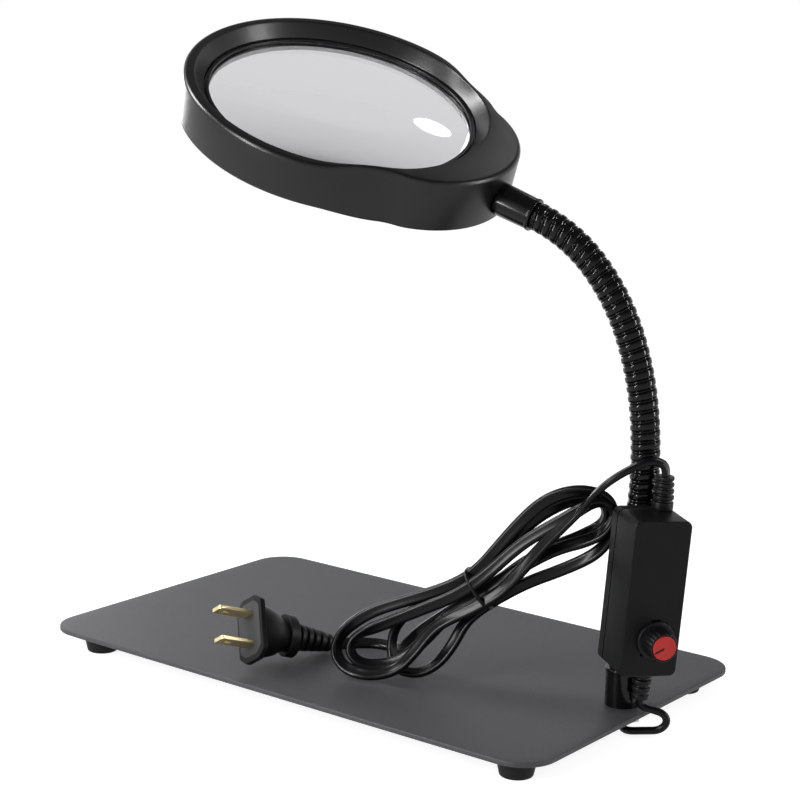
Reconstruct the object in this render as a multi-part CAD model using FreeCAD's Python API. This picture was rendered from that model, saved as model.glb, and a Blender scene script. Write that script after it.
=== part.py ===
import FreeCAD, Part

import math
import os

from FreeCAD import Placement, Rotation, Vector

# Magnifier lamp: a flat steel plate on rubber feet carries a gooseneck with a lit lens head.
# Millimetres.  The model is drawn about the plate (X along the plate, Y towards its back,
# Z up, floor at Z = 0) and is moved at the end so that the origin lies under the centre of
# the lamp's bounding box, without the free cord and its plug.

# ---------------------------------------------------------------- plate and feet
PLATE_LENGTH = 250.0
PLATE_WIDTH = 153.0
PLATE_THICKNESS = 2.0
PLATE_CORNER_RADIUS = 15.0
PLATE_EDGE_BREAK = 0.5
FOOT_HEIGHT = 7.0
FOOT_TOP_RADIUS = 7.75
FOOT_BOTTOM_RADIUS = 6.25
FOOT_INSET_LEFT = 23.0
FOOT_INSET_RIGHT = 14.0
FOOT_INSET_FRONT = 11.5
FOOT_INSET_BACK = 20.5

# ---------------------------------------------------------------- post at the foot of the arm
POST_INSET_RIGHT = 11.5
POST_OFFSET_BACK = 2.9
POST_RADIUS = 6.7
POST_HEIGHT = 15.0
POST_RIM_RADIUS = 6.95
POST_RIM_HEIGHT = 1.4
POST_TAIL_RADIUS = 5.0
POST_BORE_RADIUS = 3.2
WASHER_RADIUS = 9.0
WASHER_THICKNESS = 0.8
POST_NUT_FLATS = 14.0
POST_NUT_THICKNESS = 2.6
TAIL_PROUD = 0.2

# ---------------------------------------------------------------- gooseneck
ARM_AZIMUTH = 12.0
STEM_LEAN = 3.7
STEM_LENGTH = 68.1
NECK_SECTION_LENGTH = 30.4
NECK_TURNS = (10.2, 13.6, 20.8, 28.3)
RIB_RADIUS = 5.68
RIB_WIDTH = 2.6
RIB_PITCH = 3.5
NECK_CORE_RADIUS = 5.05
NECK_FIRST_BAND = 0.6
NECK_PLUG_LENGTH = 8.0
FIRST_JOINT_STATION = 80.0
JOINT_SPACING = 30.0
NECK_JOINTS = 4
BALL_RADIUS = 6.5
BALL_CLEARANCE = 0.3

# ---------------------------------------------------------------- driver case on the stem
CASE_WIDTH = 22.8
CASE_DEPTH = 22.0
CASE_HEIGHT = 60.0
CASE_WALL = 1.8
CASE_CORNER_RADIUS = 2.5
CASE_EDGE_RADIUS = 0.8
CASE_STATION = 36.6
CASE_YAW = 42.0
CASE_OFFSET_X = 2.8
SEAM_DEPTH = 6.0
SEAM_LIP = 0.8
SEAM_GAP = 0.1
CASE_SCREW_X = -7.2
CASE_SCREW_INSET = 8.0
CASE_BOSS_RADIUS = 2.2
CASE_SCREW_RADIUS = 1.0
CASE_SCREW_HEAD_RADIUS = 1.9
CASE_SCREW_HEAD_HEIGHT = 1.0
CASE_SCREW_LENGTH = 9.0

# ---------------------------------------------------------------- strap that holds the case
STRAP_THICKNESS = 1.2
STRAP_HEIGHT = 16.0
STRAP_FLANGE = 6.2
STRAP_HOOK_DEPTH = 2.6
STRAP_SCREW_SPACING = 9.0
STRAP_SCREW_RADIUS = 1.2
STRAP_SCREW_HEAD_RADIUS = 2.2
STRAP_SCREW_HEAD_HEIGHT = 1.4
STRAP_SCREW_LENGTH = 5.0
STRAP_BOSS_RADIUS = 2.5

# ---------------------------------------------------------------- driver and dimmer
BOARD_THICKNESS = 1.6
BOARD_SIDE_GAP = 1.1
BOARD_END_GAP = 2.2
BOARD_FRONT_Y = -1.0
BOARD_POST_RADIUS = 1.6
POT_WIDTH = 11.0
POT_DEPTH = 6.5
KNOB_X = 1.4
KNOB_RISE = 14.5
KNOB_HOLE_RADIUS = 7.7
KNOB_SKIRT_RADIUS = 7.3
KNOB_SKIRT_HEIGHT = 2.4
KNOB_SUNK = 0.9
KNOB_PROUD = 9.2
KNOB_GRIP_BASE_RADIUS = 6.0
KNOB_GRIP_TOP_RADIUS = 5.35
KNOB_FLUTES = 18
KNOB_FLUTE_DEPTH = 0.55
KNOB_SKIRT_CHAMFER = 0.6
CAP_RADIUS = 4.6
CAP_THICKNESS = 1.0
CAP_PROUD = 0.3
POINTER_WIDTH = 0.8
POINTER_DEPTH = 0.25
POINTER_ANGLE = 207.0
SHAFT_RADIUS = 3.0
SHAFT_LENGTH = 12.0

TRANSFORMER = {"x": (-4.5, 4.5), "z": (4.0, 15.0), "height": 7.0}
CONTROLLER = {"x": (-6.0, -1.0), "z": (-5.5, -1.0), "height": 1.6}
FUSE = {"x": (-2.0, 0.0), "z": (12.0, 20.0), "height": 2.0}
CAPACITOR_RADIUS = 3.0
CAPACITOR_X = 4.5
CAPACITOR_Z = (-6.8, 3.2)

# ---------------------------------------------------------------- strain reliefs of the case
RELIEF_X = 6.2
RELIEF_FLANGE_RADIUS = 3.1
RELIEF_FLANGE_THICKNESS = 1.2
RELIEF_NECK_RADIUS = 2.6
RELIEF_COLLAR_RADIUS = 4.1
RELIEF_COLLAR_HEIGHT = 3.0
MAINS_RELIEF_LENGTH = 12.7
OUTPUT_RELIEF_LENGTH = 15.0
RELIEF_RIBS = 4
RELIEF_RIB_BASE_RADIUS = 4.0
RELIEF_RIB_TIP_RADIUS = 3.4
RELIEF_CORE_RADIUS = 2.7
RELIEF_RIB_SHARE = 0.62

# ---------------------------------------------------------------- head
HEAD_RADIUS = 62.5
HEAD_HEIGHT = 17.4
HANDLE_DEPTH = 21.0
HANDLE_START_INSET = 7.5
HANDLE_RAMP_LENGTH = 27.0
HEAD_WALL = 2.3
HEAD_DECK = 2.2
HEAD_TOP_FILLET = 1.8
HEAD_BOTTOM_CHAMFER = 0.6
HEAD_ROLL = 17.0
FERRULE_DROP = 12.5
HANDLE_PROUD = 12.5
LOBE_RADIUS = 42.3
LOBE_BLEND_RADIUS = 18.0
RIM_WIDTH = 4.7
DISH_WIDTH = 3.8
DISH_DEPTH = 5.2
DISH_EDGE_BREAK = 0.5
SEAT_DEPTH = 9.55
LEDGE_WIDTH = 2.5
LEDGE_THICKNESS = 1.6
SLEEVE_SETBACK = 0.9
SLEEVE_WALL = 1.8
LENS_SEAT_GAP = 0.3
LENS_LAND = 2.3
LENS_EDGE = 3.0
LENS_SURFACE_RADIUS = 290.0
LENS_RING_GAP = 0.6
LENS_RING_WIDTH = 1.4
LENS_RING_THICKNESS = 1.1
STACK_GAP = 0.05

# ---------------------------------------------------------------- light inside the head
HEAD_RIBS = 10
HEAD_RIB_THICKNESS = 1.2
HEAD_RIB_STEP = 30.0
LED_BOARD_TOP = 10.6
LED_BOARD_THICKNESS = 1.6
LED_BOARD_GAP = 0.3
LED_COUNT = 30
LED_WIDTH = 3.5
LED_DEPTH = 2.8
LED_HEIGHT = 1.8
DIFFUSER_THICKNESS = 1.2
DIFFUSER_INNER_GAP = 0.2
DIFFUSER_OUTER_GAP = 1.1
COVER_THICKNESS = 1.6
COVER_SLEEVE_GAP = 1.0
COVER_GAP = 0.15
HOOK_ANGLES = (90.0, 180.0, 270.0)
HOOK_WIDTH = 4.0
HOOK_THICKNESS = 0.7
HOOK_HEIGHT = 1.6
HEAD_SCREW_INSET = 9.5
HEAD_SCREW_SPACING = 36.0
HEAD_BOSS_RADIUS = 2.2
HEAD_SCREW_RADIUS = 0.8
HEAD_SCREW_HEAD_RADIUS = 1.9
HEAD_SCREW_HEAD_HEIGHT = 1.0
HEAD_SCREW_LENGTH = 7.0
PARTITION_DEPTH = 13.8

# ---------------------------------------------------------------- ferrule between neck and head
FERRULE_LENGTH = 15.3
FERRULE_WALL_RADIUS = 6.5
FERRULE_NECK_RADIUS = 6.2
FERRULE_RIM_RADIUS = 6.5
FERRULE_RIM_WIDTH = 1.2
FERRULE_SEAT_GAP = 0.1
STUB_RADIUS = 3.2
STUB_BORE_RADIUS = 1.8
STUB_PROUD = 1.2
FERRULE_PAD_THICKNESS = 1.3
FERRULE_PAD_WIDTH = 14.0
FERRULE_NUT_FLATS = 9.0
FERRULE_NUT_THICKNESS = 3.0

# ---------------------------------------------------------------- plug
PLUG_ROOT_X = -22.6
PLUG_ROOT_Y = -60.3
PLUG_ROOT_RISE = 15.9
PLUG_AXIS = Vector(-0.29, -0.91, 0.30)
PLUG_BLADE_SIDE = Vector(-0.46, 0.40, 0.79)
BLADE_SPACING = 12.7
BLADE_LENGTH = 15.8
BLADE_WIDTH = 6.3
BLADE_THICKNESS = 1.5
BLADE_HOLE_RADIUS = 1.5
BLADE_HOLE_FROM_TIP = 4.5
BLADE_ROOTED = 6.0
PLUG_FLANGE_LENGTH = 27.0
PLUG_FLANGE_WIDTH = 17.0
PLUG_FLANGE_CUT_X = 3.2
PLUG_FLANGE_CUT_Y = 4.0
PLUG_FLANGE_THICKNESS = 2.6
PLUG_SECTIONS = ((11.0, 2.6), (10.9, 6.6), (9.4, 11.4), (7.0, 14.6), (7.0, 16.7))
PLUG_RING_RADIUS = 9.0
PLUG_RING_END = 21.0
PLUG_FLATTENING = 0.72
PLUG_RIBS = 5
PLUG_RIB_BASE_RADIUS = 5.8
PLUG_RIB_TIP_RADIUS = 4.0
PLUG_RIB_COLLAR = 0.5
PLUG_RELIEF_LENGTH = 18.6
PLUG_CORE_RADIUS = 3.0

# ---------------------------------------------------------------- cords
CORD_DIAMETER = 4.4
CABLE_DIAMETER = 3.0
MAINS_EXIT_RUN = 4.2
MAINS_ROUTE = ((127.3, -1.6, 109.7), (124.4, -4.6, 109.2), (119.4, -10.1, 105.3), (113.5, -13.2, 99.8),
               (105.5, -12.0, 91.8))
MAINS_HANK_ENTRY = (76.0, 74.5)
TAIL_EXIT_RUN = 5.0
TAIL_ROUTE = ((19.5, -15.5, 12.2), (11.5, -8.0, 11.4), (1.5, -7.5, 11.4), (-6.2, -13.5, 11.4))
TAIL_HANK_EXIT = (-3.0, 9.0)
CABLE_EXIT_RUN = 1.6
CABLE_ROUTE = ((10.7, -3.5, 12.0), (12.2, -3.1, 10.95), (15.5, -1.8, 10.6), (18.5, -0.5, 9.6), (20.6, 0.3, 7.4),
               (20.6, 0.3, 4.4), (18.5, -0.5, 2.2), (13.7, -3.1, 2.3), (6.3, -8.5, 1.9))
CABLE_UNDER_GAP = 0.1
CABLE_RISE = 7.2
HANK_AZIMUTH = 20.0
HANK_FOOT_X = 25.2
HANK_FOOT_Y = -32.6
HANK_THICKNESS = 12.0
HANK_LOWER = {"centre": (7.5, 19.9), "length": 52.0, "width": 30.0, "turn": 36.0}
HANK_UPPER = {"centre": (67.0, 64.0), "length": 50.0, "width": 28.0, "turn": 38.0}
HANK_WAIST_LENGTH = 26.0
HANK_WAIST_WIDTH = 14.0
HANK_WAIST_CENTRE = (37.5, 40.8)
HANK_WAIST_TURN = 37.0
TIE_WIDTH = 2.4
TIE_THICKNESS = 0.8

RUNNING_CLEARANCE = 0.05
SCREW_FIT = 0.05
HOLE_CLEARANCE = 0.2

# ---------------------------------------------------------------- values worked out from them
PLATE_BOTTOM = FOOT_HEIGHT
PLATE_TOP = FOOT_HEIGHT + PLATE_THICKNESS
POST_X = PLATE_LENGTH / 2 - POST_INSET_RIGHT
POST_Y = POST_OFFSET_BACK
POST_TOP = PLATE_TOP + POST_HEIGHT
WASHER_BOTTOM = PLATE_BOTTOM - WASHER_THICKNESS
POST_NUT_BOTTOM = WASHER_BOTTOM - POST_NUT_THICKNESS
TAIL_BOTTOM = POST_NUT_BOTTOM - TAIL_PROUD
NECK_LENGTH = STEM_LENGTH + NECK_SECTION_LENGTH * len(NECK_TURNS)
NECK_JOINT_STATIONS = tuple(FIRST_JOINT_STATION + JOINT_SPACING * step for step in range(NECK_JOINTS))
CASE_OFFSET_Y = CASE_DEPTH / 2 + RIB_RADIUS + RUNNING_CLEARANCE
STRAP_INNER_RADIUS = RIB_RADIUS + RUNNING_CLEARANCE
CASE_SCREW_SPACING = CASE_HEIGHT - CASE_SCREW_INSET * 2
BOARD_WIDTH = CASE_WIDTH - (CASE_WALL + BOARD_SIDE_GAP) * 2
BOARD_HEIGHT = CASE_HEIGHT - (CASE_WALL + BOARD_END_GAP) * 2
KNOB_Z = KNOB_RISE - CASE_HEIGHT / 2
LOBE_END = HEAD_RADIUS + HANDLE_PROUD
LOBE_OFFSET = LOBE_END - LOBE_RADIUS
HEAD_REACH = LOBE_END + FERRULE_SEAT_GAP + FERRULE_LENGTH
HEAD_SCREW_X = LOBE_END - HEAD_SCREW_INSET
HANDLE_START_X = HEAD_RADIUS - HANDLE_START_INSET
DISH_RADIUS = HEAD_RADIUS - RIM_WIDTH
SEAT_RADIUS = DISH_RADIUS - DISH_WIDTH
LEDGE_RADIUS = SEAT_RADIUS - LEDGE_WIDTH
SLEEVE_INNER_RADIUS = LEDGE_RADIUS + SLEEVE_SETBACK
SLEEVE_OUTER_RADIUS = SEAT_RADIUS + SLEEVE_WALL
LENS_RADIUS = SEAT_RADIUS - LENS_SEAT_GAP
LENS_CLEAR_RADIUS = LENS_RADIUS - LENS_LAND
LENS_RING_OUTER_RADIUS = SEAT_RADIUS - LENS_RING_GAP
LENS_RING_INNER_RADIUS = LENS_RING_OUTER_RADIUS - LENS_RING_WIDTH
COVER_OPENING_RADIUS = SLEEVE_OUTER_RADIUS + COVER_SLEEVE_GAP
DIFFUSER_INNER_RADIUS = SLEEVE_INNER_RADIUS + DIFFUSER_INNER_GAP
DIFFUSER_OUTER_RADIUS = HEAD_RADIUS - HEAD_WALL - DIFFUSER_OUTER_GAP
COVER_TOP = HEAD_HEIGHT - COVER_THICKNESS
HANDLE_COVER_TOP = HANDLE_DEPTH - COVER_THICKNESS
PARTITION_RADIUS = HEAD_RADIUS + HEAD_WALL
DIFFUSER_TOP = COVER_TOP - DIFFUSER_THICKNESS
LED_BOARD_BOTTOM = LED_BOARD_TOP + LED_BOARD_THICKNESS
LED_RING_RADIUS = (SLEEVE_OUTER_RADIUS + HEAD_RADIUS - HEAD_WALL) / 2
LENS_TOP = SEAT_DEPTH - STACK_GAP - LENS_EDGE
PLUG_ROOT = Vector(PLUG_ROOT_X, PLUG_ROOT_Y, PLATE_TOP + PLUG_ROOT_RISE)
HANK_FOOT = Vector(HANK_FOOT_X, HANK_FOOT_Y, PLATE_TOP)
X_AXIS = Vector(1, 0, 0)
Y_AXIS = Vector(0, 1, 0)
Z_AXIS = Vector(0, 0, 1)
ORIGIN = Vector(0, 0, 0)


# ================================================================ small helpers
def cylinder(radius, low, high, centre=(0.0, 0.0)):
    """A cylinder along Z between two heights."""
    return Part.makeCylinder(radius, high - low, Vector(centre[0], centre[1], low))


def tube(outer, inner, low, high, centre=(0.0, 0.0)):
    """A round tube along Z between two heights."""
    return cylinder(outer, low, high, centre).cut(cylinder(inner, low, high, centre))


def block(x_range, y_range, z_range):
    """A box given by its lowest and highest coordinate along each axis."""
    corner = Vector(x_range[0], y_range[0], z_range[0])
    return Part.makeBox(x_range[1] - x_range[0], y_range[1] - y_range[0], z_range[1] - z_range[0], corner)


def lathe(profile):
    """A solid turned about Z from (radius, height) points, closed along the list."""
    points = [Vector(radius, 0, height) for radius, height in profile]
    wire = Part.makePolygon(points + points[:1])
    return Part.Face(wire).revolve(ORIGIN, Z_AXIS, 360)


def hexagon(flats, low, high, turn=0.0):
    """A six-sided prism along Z, measured across its flats."""
    radius = flats / math.sqrt(3)
    corners = [Vector(radius, 0, low)]
    corners += [Rotation(Z_AXIS, 60.0 * step).multVec(corners[0]) for step in range(1, 6)]
    prism = Part.Face(Part.makePolygon(corners + corners[:1])).extrude(Vector(0, 0, high - low))
    prism.rotate(ORIGIN, Z_AXIS, turn)
    return prism


def placed(shape, frame):
    """A copy of the shape, moved from its own frame into the plate's."""
    copy = shape.copy()
    copy.Placement = frame.multiply(copy.Placement)
    return copy


def fuse_all(shapes):
    """One solid from several that touch or overlap."""
    return shapes[0].multiFuse(shapes[1:]).removeSplitter()


def edges_at(shape, height, tolerance=1e-4):
    """Edges of the shape that lie flat at one height."""
    return [edge for edge in shape.Edges
            if abs(edge.BoundBox.ZMin - height) < tolerance and abs(edge.BoundBox.ZMax - height) < tolerance]


def pan_screw(radius, length, head_radius, head_height):
    """A screw along -Z whose head stands on Z = 0."""
    return lathe([(0, -length), (radius, -length), (radius, 0), (head_radius, 0),
                  (head_radius, head_height / 2), (head_radius - head_height / 2, head_height), (0, head_height)])


# ================================================================ frames
def neck_state(station):
    """Where the gooseneck's axis is, that far along it: (u, z) in the arm's plane and its heading."""
    heading = -math.radians(STEM_LEAN)
    straight = min(station, STEM_LENGTH)
    u, z = -math.sin(heading) * straight, POST_TOP + math.cos(heading) * straight
    left = station - straight
    for turn in NECK_TURNS:
        if left <= 0:
            break
        step = min(left, NECK_SECTION_LENGTH)
        radius = NECK_SECTION_LENGTH / math.radians(turn)
        after = heading + step / radius
        u += radius * (math.cos(after) - math.cos(heading))
        z += radius * (math.sin(after) - math.sin(heading))
        heading = after
        left -= step
    return u, z, heading


ARM_FRAME = Placement(Vector(POST_X, POST_Y, 0), Rotation(Z_AXIS, ARM_AZIMUTH))


def neck_frame(station):
    """A frame on the gooseneck's axis: Z along the neck, Y across the arm's plane."""
    u, z, heading = neck_state(station)
    local = Placement(Vector(u, 0, z), Rotation(Y_AXIS, -math.degrees(heading)))
    return ARM_FRAME.multiply(local)


def case_frame():
    """The driver case's own frame: X across it, Y towards its back, Z up along the stem."""
    turned = neck_frame(CASE_STATION).multiply(Placement(ORIGIN, Rotation(Z_AXIS, CASE_YAW)))
    return turned.multiply(Placement(Vector(-CASE_OFFSET_X, -CASE_OFFSET_Y, 0), Rotation()))


def knob_frame():
    """The dimmer's frame: Z out of the case's front face, Y up, origin on that face."""
    local = Placement(Vector(KNOB_X, -CASE_DEPTH / 2, KNOB_Z), Rotation(X_AXIS, 90))
    return case_frame().multiply(local)


def head_frame():
    """The head's frame: X from the lens towards the neck, Z out of its top face, origin on that face."""
    end = neck_frame(NECK_LENGTH)
    inward = end.Rotation.multVec(Vector(0, 0, -1))
    across = end.Rotation.multVec(Y_AXIS)
    side = Rotation(inward, HEAD_ROLL).multVec(across)
    normal = inward.cross(side)
    centre = end.Base - inward * HEAD_REACH + normal * FERRULE_DROP
    return Placement(centre, Rotation(inward, side, normal, "XYZ"))


def ferrule_frame():
    """The upper ferrule's frame: X along its axis towards the neck, origin abreast of the head's centre."""
    return head_frame().multiply(Placement(Vector(0, 0, -FERRULE_DROP), Rotation()))


def plug_frame():
    """The plug's frame: Z towards the blades' tips, X from one blade to the other."""
    return Placement(PLUG_ROOT, Rotation(PLUG_BLADE_SIDE, ORIGIN, PLUG_AXIS, "ZXY"))


def hank_frame():
    """The hank's frame: X along the plate, Y up, Z through the hank's thickness."""
    upright = Rotation(Z_AXIS, HANK_AZIMUTH).multiply(Rotation(X_AXIS, 90))
    return Placement(HANK_FOOT, upright)


# ================================================================ base
def base_plate():
    """Bent-free steel plate with round corners and one hole for the post."""
    plate = block((-PLATE_LENGTH / 2, PLATE_LENGTH / 2), (-PLATE_WIDTH / 2, PLATE_WIDTH / 2),
                  (PLATE_BOTTOM, PLATE_TOP))
    upright = [edge for edge in plate.Edges if edge.BoundBox.ZLength > PLATE_THICKNESS / 2]
    plate = plate.makeFillet(PLATE_CORNER_RADIUS, upright)
    rim = edges_at(plate, PLATE_TOP) + edges_at(plate, PLATE_BOTTOM)
    plate = plate.makeChamfer(PLATE_EDGE_BREAK, rim)
    hole = cylinder(POST_TAIL_RADIUS + HOLE_CLEARANCE, PLATE_BOTTOM, PLATE_TOP, (POST_X, POST_Y))
    return plate.cut(hole)


def rubber_feet():
    """Four tapered stick-on feet."""
    left = -PLATE_LENGTH / 2 + FOOT_INSET_LEFT
    right = PLATE_LENGTH / 2 - FOOT_INSET_RIGHT
    front = -PLATE_WIDTH / 2 + FOOT_INSET_FRONT
    back = PLATE_WIDTH / 2 - FOOT_INSET_BACK
    feet = [Part.makeCone(FOOT_BOTTOM_RADIUS, FOOT_TOP_RADIUS, FOOT_HEIGHT, Vector(x, y, 0))
            for x in (left, right) for y in (front, back)]
    return Part.makeCompound(feet)


def lower_ferrule():
    """Turned post: a socket for the stem above the plate, a hollow threaded tail below it."""
    body = lathe([(POST_BORE_RADIUS, TAIL_BOTTOM), (POST_TAIL_RADIUS, TAIL_BOTTOM), (POST_TAIL_RADIUS, PLATE_TOP),
                  (POST_RADIUS, PLATE_TOP), (POST_RADIUS, POST_TOP - POST_RIM_HEIGHT),
                  (POST_RIM_RADIUS, POST_TOP - POST_RIM_HEIGHT), (POST_RIM_RADIUS, POST_TOP),
                  (POST_BORE_RADIUS, POST_TOP)])
    body.translate(Vector(POST_X, POST_Y, 0))
    stem = cylinder(NECK_CORE_RADIUS + RUNNING_CLEARANCE, -NECK_PLUG_LENGTH, RIB_PITCH)
    return body.cut(placed(stem, neck_frame(0)))


def post_washer():
    """Flat washer under the plate."""
    return tube(WASHER_RADIUS, POST_TAIL_RADIUS + HOLE_CLEARANCE, WASHER_BOTTOM, PLATE_BOTTOM, (POST_X, POST_Y))


def post_nut():
    """Thin hexagon nut that clamps the post to the plate."""
    nut = hexagon(POST_NUT_FLATS, POST_NUT_BOTTOM, WASHER_BOTTOM)
    nut = nut.cut(cylinder(POST_TAIL_RADIUS + RUNNING_CLEARANCE, POST_NUT_BOTTOM, WASHER_BOTTOM))
    nut.translate(Vector(POST_X, POST_Y, 0))
    return nut


# ================================================================ gooseneck
def neck_ring(station, radius):
    """A circle round the gooseneck's axis, also beyond its ends."""
    inside = min(station, NECK_LENGTH)
    ring = Part.Wire(Part.makeCircle(radius))
    ring.Placement = neck_frame(inside).multiply(Placement(Vector(0, 0, station - inside), Rotation()))
    return ring


def neck_whole():
    """The gooseneck in one piece: flat bands with hollow grooves between them and two plain sunk ends."""
    count = round(NECK_LENGTH / RIB_PITCH)
    pitch = (NECK_LENGTH - NECK_FIRST_BAND) / count
    margin = (pitch - RIB_WIDTH) / 2
    sunk = NECK_PLUG_LENGTH - RUNNING_CLEARANCE
    rings = [neck_ring(-sunk, NECK_CORE_RADIUS)]
    for step in range(count):
        low = NECK_FIRST_BAND + pitch * step
        rings.append(neck_ring(low, NECK_CORE_RADIUS))
        rings.append(neck_ring(low + margin, RIB_RADIUS))
        rings.append(neck_ring(low + pitch - margin, RIB_RADIUS))
    rings.append(neck_ring(NECK_LENGTH, NECK_CORE_RADIUS))
    rings.append(neck_ring(NECK_LENGTH + sunk, NECK_CORE_RADIUS))
    return Part.makeLoft(rings, True, True)


def ball_gap(station):
    """The thin spherical gap that lets the neck turn at one station."""
    reach = BALL_RADIUS + BALL_CLEARANCE
    shell = Part.makeSphere(reach).cut(Part.makeSphere(BALL_RADIUS))
    ahead = block((-reach, reach), (-reach, reach), (0, reach))
    return placed(shell.common(ahead), neck_frame(station))


def neck_pieces():
    """The gooseneck, cut at its joints into the stem, three links and the tip, in that order."""
    whole = neck_whole()
    for station in NECK_JOINT_STATIONS:
        whole = whole.cut(ball_gap(station))
    bounds = (0.0,) + NECK_JOINT_STATIONS + (NECK_LENGTH,)
    middles = [neck_frame((low + high) / 2).Base for low, high in zip(bounds, bounds[1:])]
    return [min(whole.Solids, key=lambda solid: solid.CenterOfMass.distanceToPoint(middle)) for middle in middles]


# ================================================================ driver case
def case_outer():
    """The case's outer form, with round corners seen from the front and softened edges."""
    case = block((-CASE_WIDTH / 2, CASE_WIDTH / 2), (-CASE_DEPTH / 2, CASE_DEPTH / 2),
                 (-CASE_HEIGHT / 2, CASE_HEIGHT / 2))
    deep = [edge for edge in case.Edges if edge.BoundBox.YLength > CASE_DEPTH / 2]
    case = case.makeFillet(CASE_CORNER_RADIUS, deep)
    faces = (-CASE_DEPTH / 2, CASE_DEPTH / 2)
    rims = [edge for edge in case.Edges
            if edge.BoundBox.YLength < 1e-4 and min(abs(edge.BoundBox.YMin - y) for y in faces) < 1e-4]
    return case.makeFillet(min(CASE_EDGE_RADIUS, CASE_WALL * 0.45), rims)


def case_cavity():
    """The room inside the case."""
    half_width, half_depth, half_height = (size / 2 - CASE_WALL for size in (CASE_WIDTH, CASE_DEPTH, CASE_HEIGHT))
    return block((-half_width, half_width), (-half_depth, half_depth), (-half_height, half_height))


def half_space(y_low, y_high, grow=2.0):
    """A slab of the case between two depths, wider and taller than the case."""
    return block((-CASE_WIDTH * grow, CASE_WIDTH * grow), (y_low, y_high), (-CASE_HEIGHT * grow, CASE_HEIGHT * grow))


def relief_necks(clearance):
    """The round necks of both strain reliefs through the top and bottom walls, with some room."""
    holes = cylinder(RELIEF_NECK_RADIUS + clearance, -CASE_HEIGHT, CASE_HEIGHT, (RELIEF_X, SEAM_DEPTH))
    return holes.cut(case_cavity())


def along_y(shape, x, y, z):
    """Turn a shape made along Z to point along +Y and put its origin at a point."""
    copy = shape.copy()
    copy.rotate(ORIGIN, X_AXIS, -90)
    copy.translate(Vector(x, y, z))
    return copy


def case_screw_places():
    """Places of the case's two screws on its rear face."""
    return [(CASE_SCREW_X, -CASE_SCREW_SPACING / 2), (CASE_SCREW_X, CASE_SCREW_SPACING / 2)]


def strap_screw_places():
    """Places of the strap's two screws on the case's rear face."""
    x = CASE_OFFSET_X - STRAP_INNER_RADIUS - STRAP_THICKNESS - STRAP_FLANGE / 2
    return [(x, -STRAP_SCREW_SPACING / 2), (x, STRAP_SCREW_SPACING / 2)]


def strap_hook_range():
    """How far the strap's hooked leg lies from the case's middle, low and high X."""
    low = CASE_OFFSET_X + STRAP_INNER_RADIUS
    return low, low + STRAP_THICKNESS


def lip_ring(grow):
    """The tongue that the front half carries round the seam, grown by a clearance."""
    outer_width = CASE_WIDTH / 2 - CASE_WALL / 2 + grow
    outer_height = CASE_HEIGHT / 2 - CASE_WALL / 2 + grow
    ring = block((-outer_width, outer_width), (SEAM_DEPTH, SEAM_DEPTH + SEAM_LIP + grow),
                 (-outer_height, outer_height))
    return ring.cut(case_cavity())


def case_front():
    """Front half of the case: the dimmer's hole, the screw bosses and the board's posts."""
    shell = case_outer().cut(case_cavity()).common(half_space(-CASE_DEPTH, SEAM_DEPTH))
    shell = shell.fuse(lip_ring(0))
    front = -CASE_DEPTH / 2 + CASE_WALL / 2
    bosses = [along_y(cylinder(CASE_BOSS_RADIUS, 0, SEAM_DEPTH - front), x, front, z)
              for x, z in case_screw_places()]
    board_x = BOARD_WIDTH / 2 - BOARD_POST_RADIUS
    board_z = BOARD_HEIGHT / 2 - BOARD_POST_RADIUS
    posts = [along_y(cylinder(BOARD_POST_RADIUS, 0, BOARD_FRONT_Y - front), board_x, front, z)
             for z in (-board_z, board_z)]
    shell = fuse_all([shell] + bosses + posts)
    shell = shell.cut(relief_necks(SCREW_FIT))
    pilots = [along_y(cylinder(CASE_SCREW_RADIUS + SCREW_FIT, 0, CASE_SCREW_LENGTH), x,
                      CASE_DEPTH / 2 - CASE_SCREW_HEAD_HEIGHT - CASE_SCREW_LENGTH, z)
              for x, z in case_screw_places()]
    knob_hole = along_y(cylinder(KNOB_HOLE_RADIUS, -CASE_WALL, CASE_WALL), KNOB_X, -CASE_DEPTH / 2, KNOB_Z)
    for tool in pilots + [knob_hole]:
        shell = shell.cut(tool)
    return shell.removeSplitter()


def case_rear():
    """Rear half of the case: counterbored screw bosses, the strap's slot and its screw bosses."""
    shell = case_outer().cut(case_cavity()).common(half_space(SEAM_DEPTH, CASE_DEPTH))
    shell = shell.cut(lip_ring(SEAM_GAP))
    rear = CASE_DEPTH / 2
    inner = rear - CASE_WALL / 2
    bosses = [along_y(cylinder(CASE_BOSS_RADIUS, SEAM_DEPTH + SEAM_GAP, inner), x, 0, z)
              for x, z in case_screw_places()]
    anchors = [along_y(cylinder(STRAP_BOSS_RADIUS, SEAM_DEPTH + SEAM_LIP + SEAM_GAP * 2, inner), x, 0, z)
               for x, z in strap_screw_places()]
    shell = fuse_all([shell] + bosses + anchors).cut(relief_necks(SCREW_FIT))
    head_room = CASE_SCREW_HEAD_RADIUS + HOLE_CLEARANCE
    tools = []
    for x, z in case_screw_places():
        tools.append(along_y(cylinder(CASE_SCREW_RADIUS + HOLE_CLEARANCE, SEAM_DEPTH, rear), x, 0, z))
        tools.append(along_y(cylinder(head_room, rear - CASE_SCREW_HEAD_HEIGHT, rear), x, 0, z))
    for x, z in strap_screw_places():
        tools.append(along_y(cylinder(STRAP_SCREW_RADIUS + SCREW_FIT,
                                      rear - STRAP_SCREW_LENGTH + STRAP_THICKNESS, rear), x, 0, z))
    hook_low, hook_high = strap_hook_range()
    tools.append(block((hook_low - SCREW_FIT, hook_high + SCREW_FIT),
                       (rear - STRAP_HOOK_DEPTH - SCREW_FIT, rear + SCREW_FIT),
                       (-STRAP_HEIGHT / 2 - SCREW_FIT, STRAP_HEIGHT / 2 + SCREW_FIT)))
    for tool in tools:
        shell = shell.cut(tool)
    return shell.removeSplitter()


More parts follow.
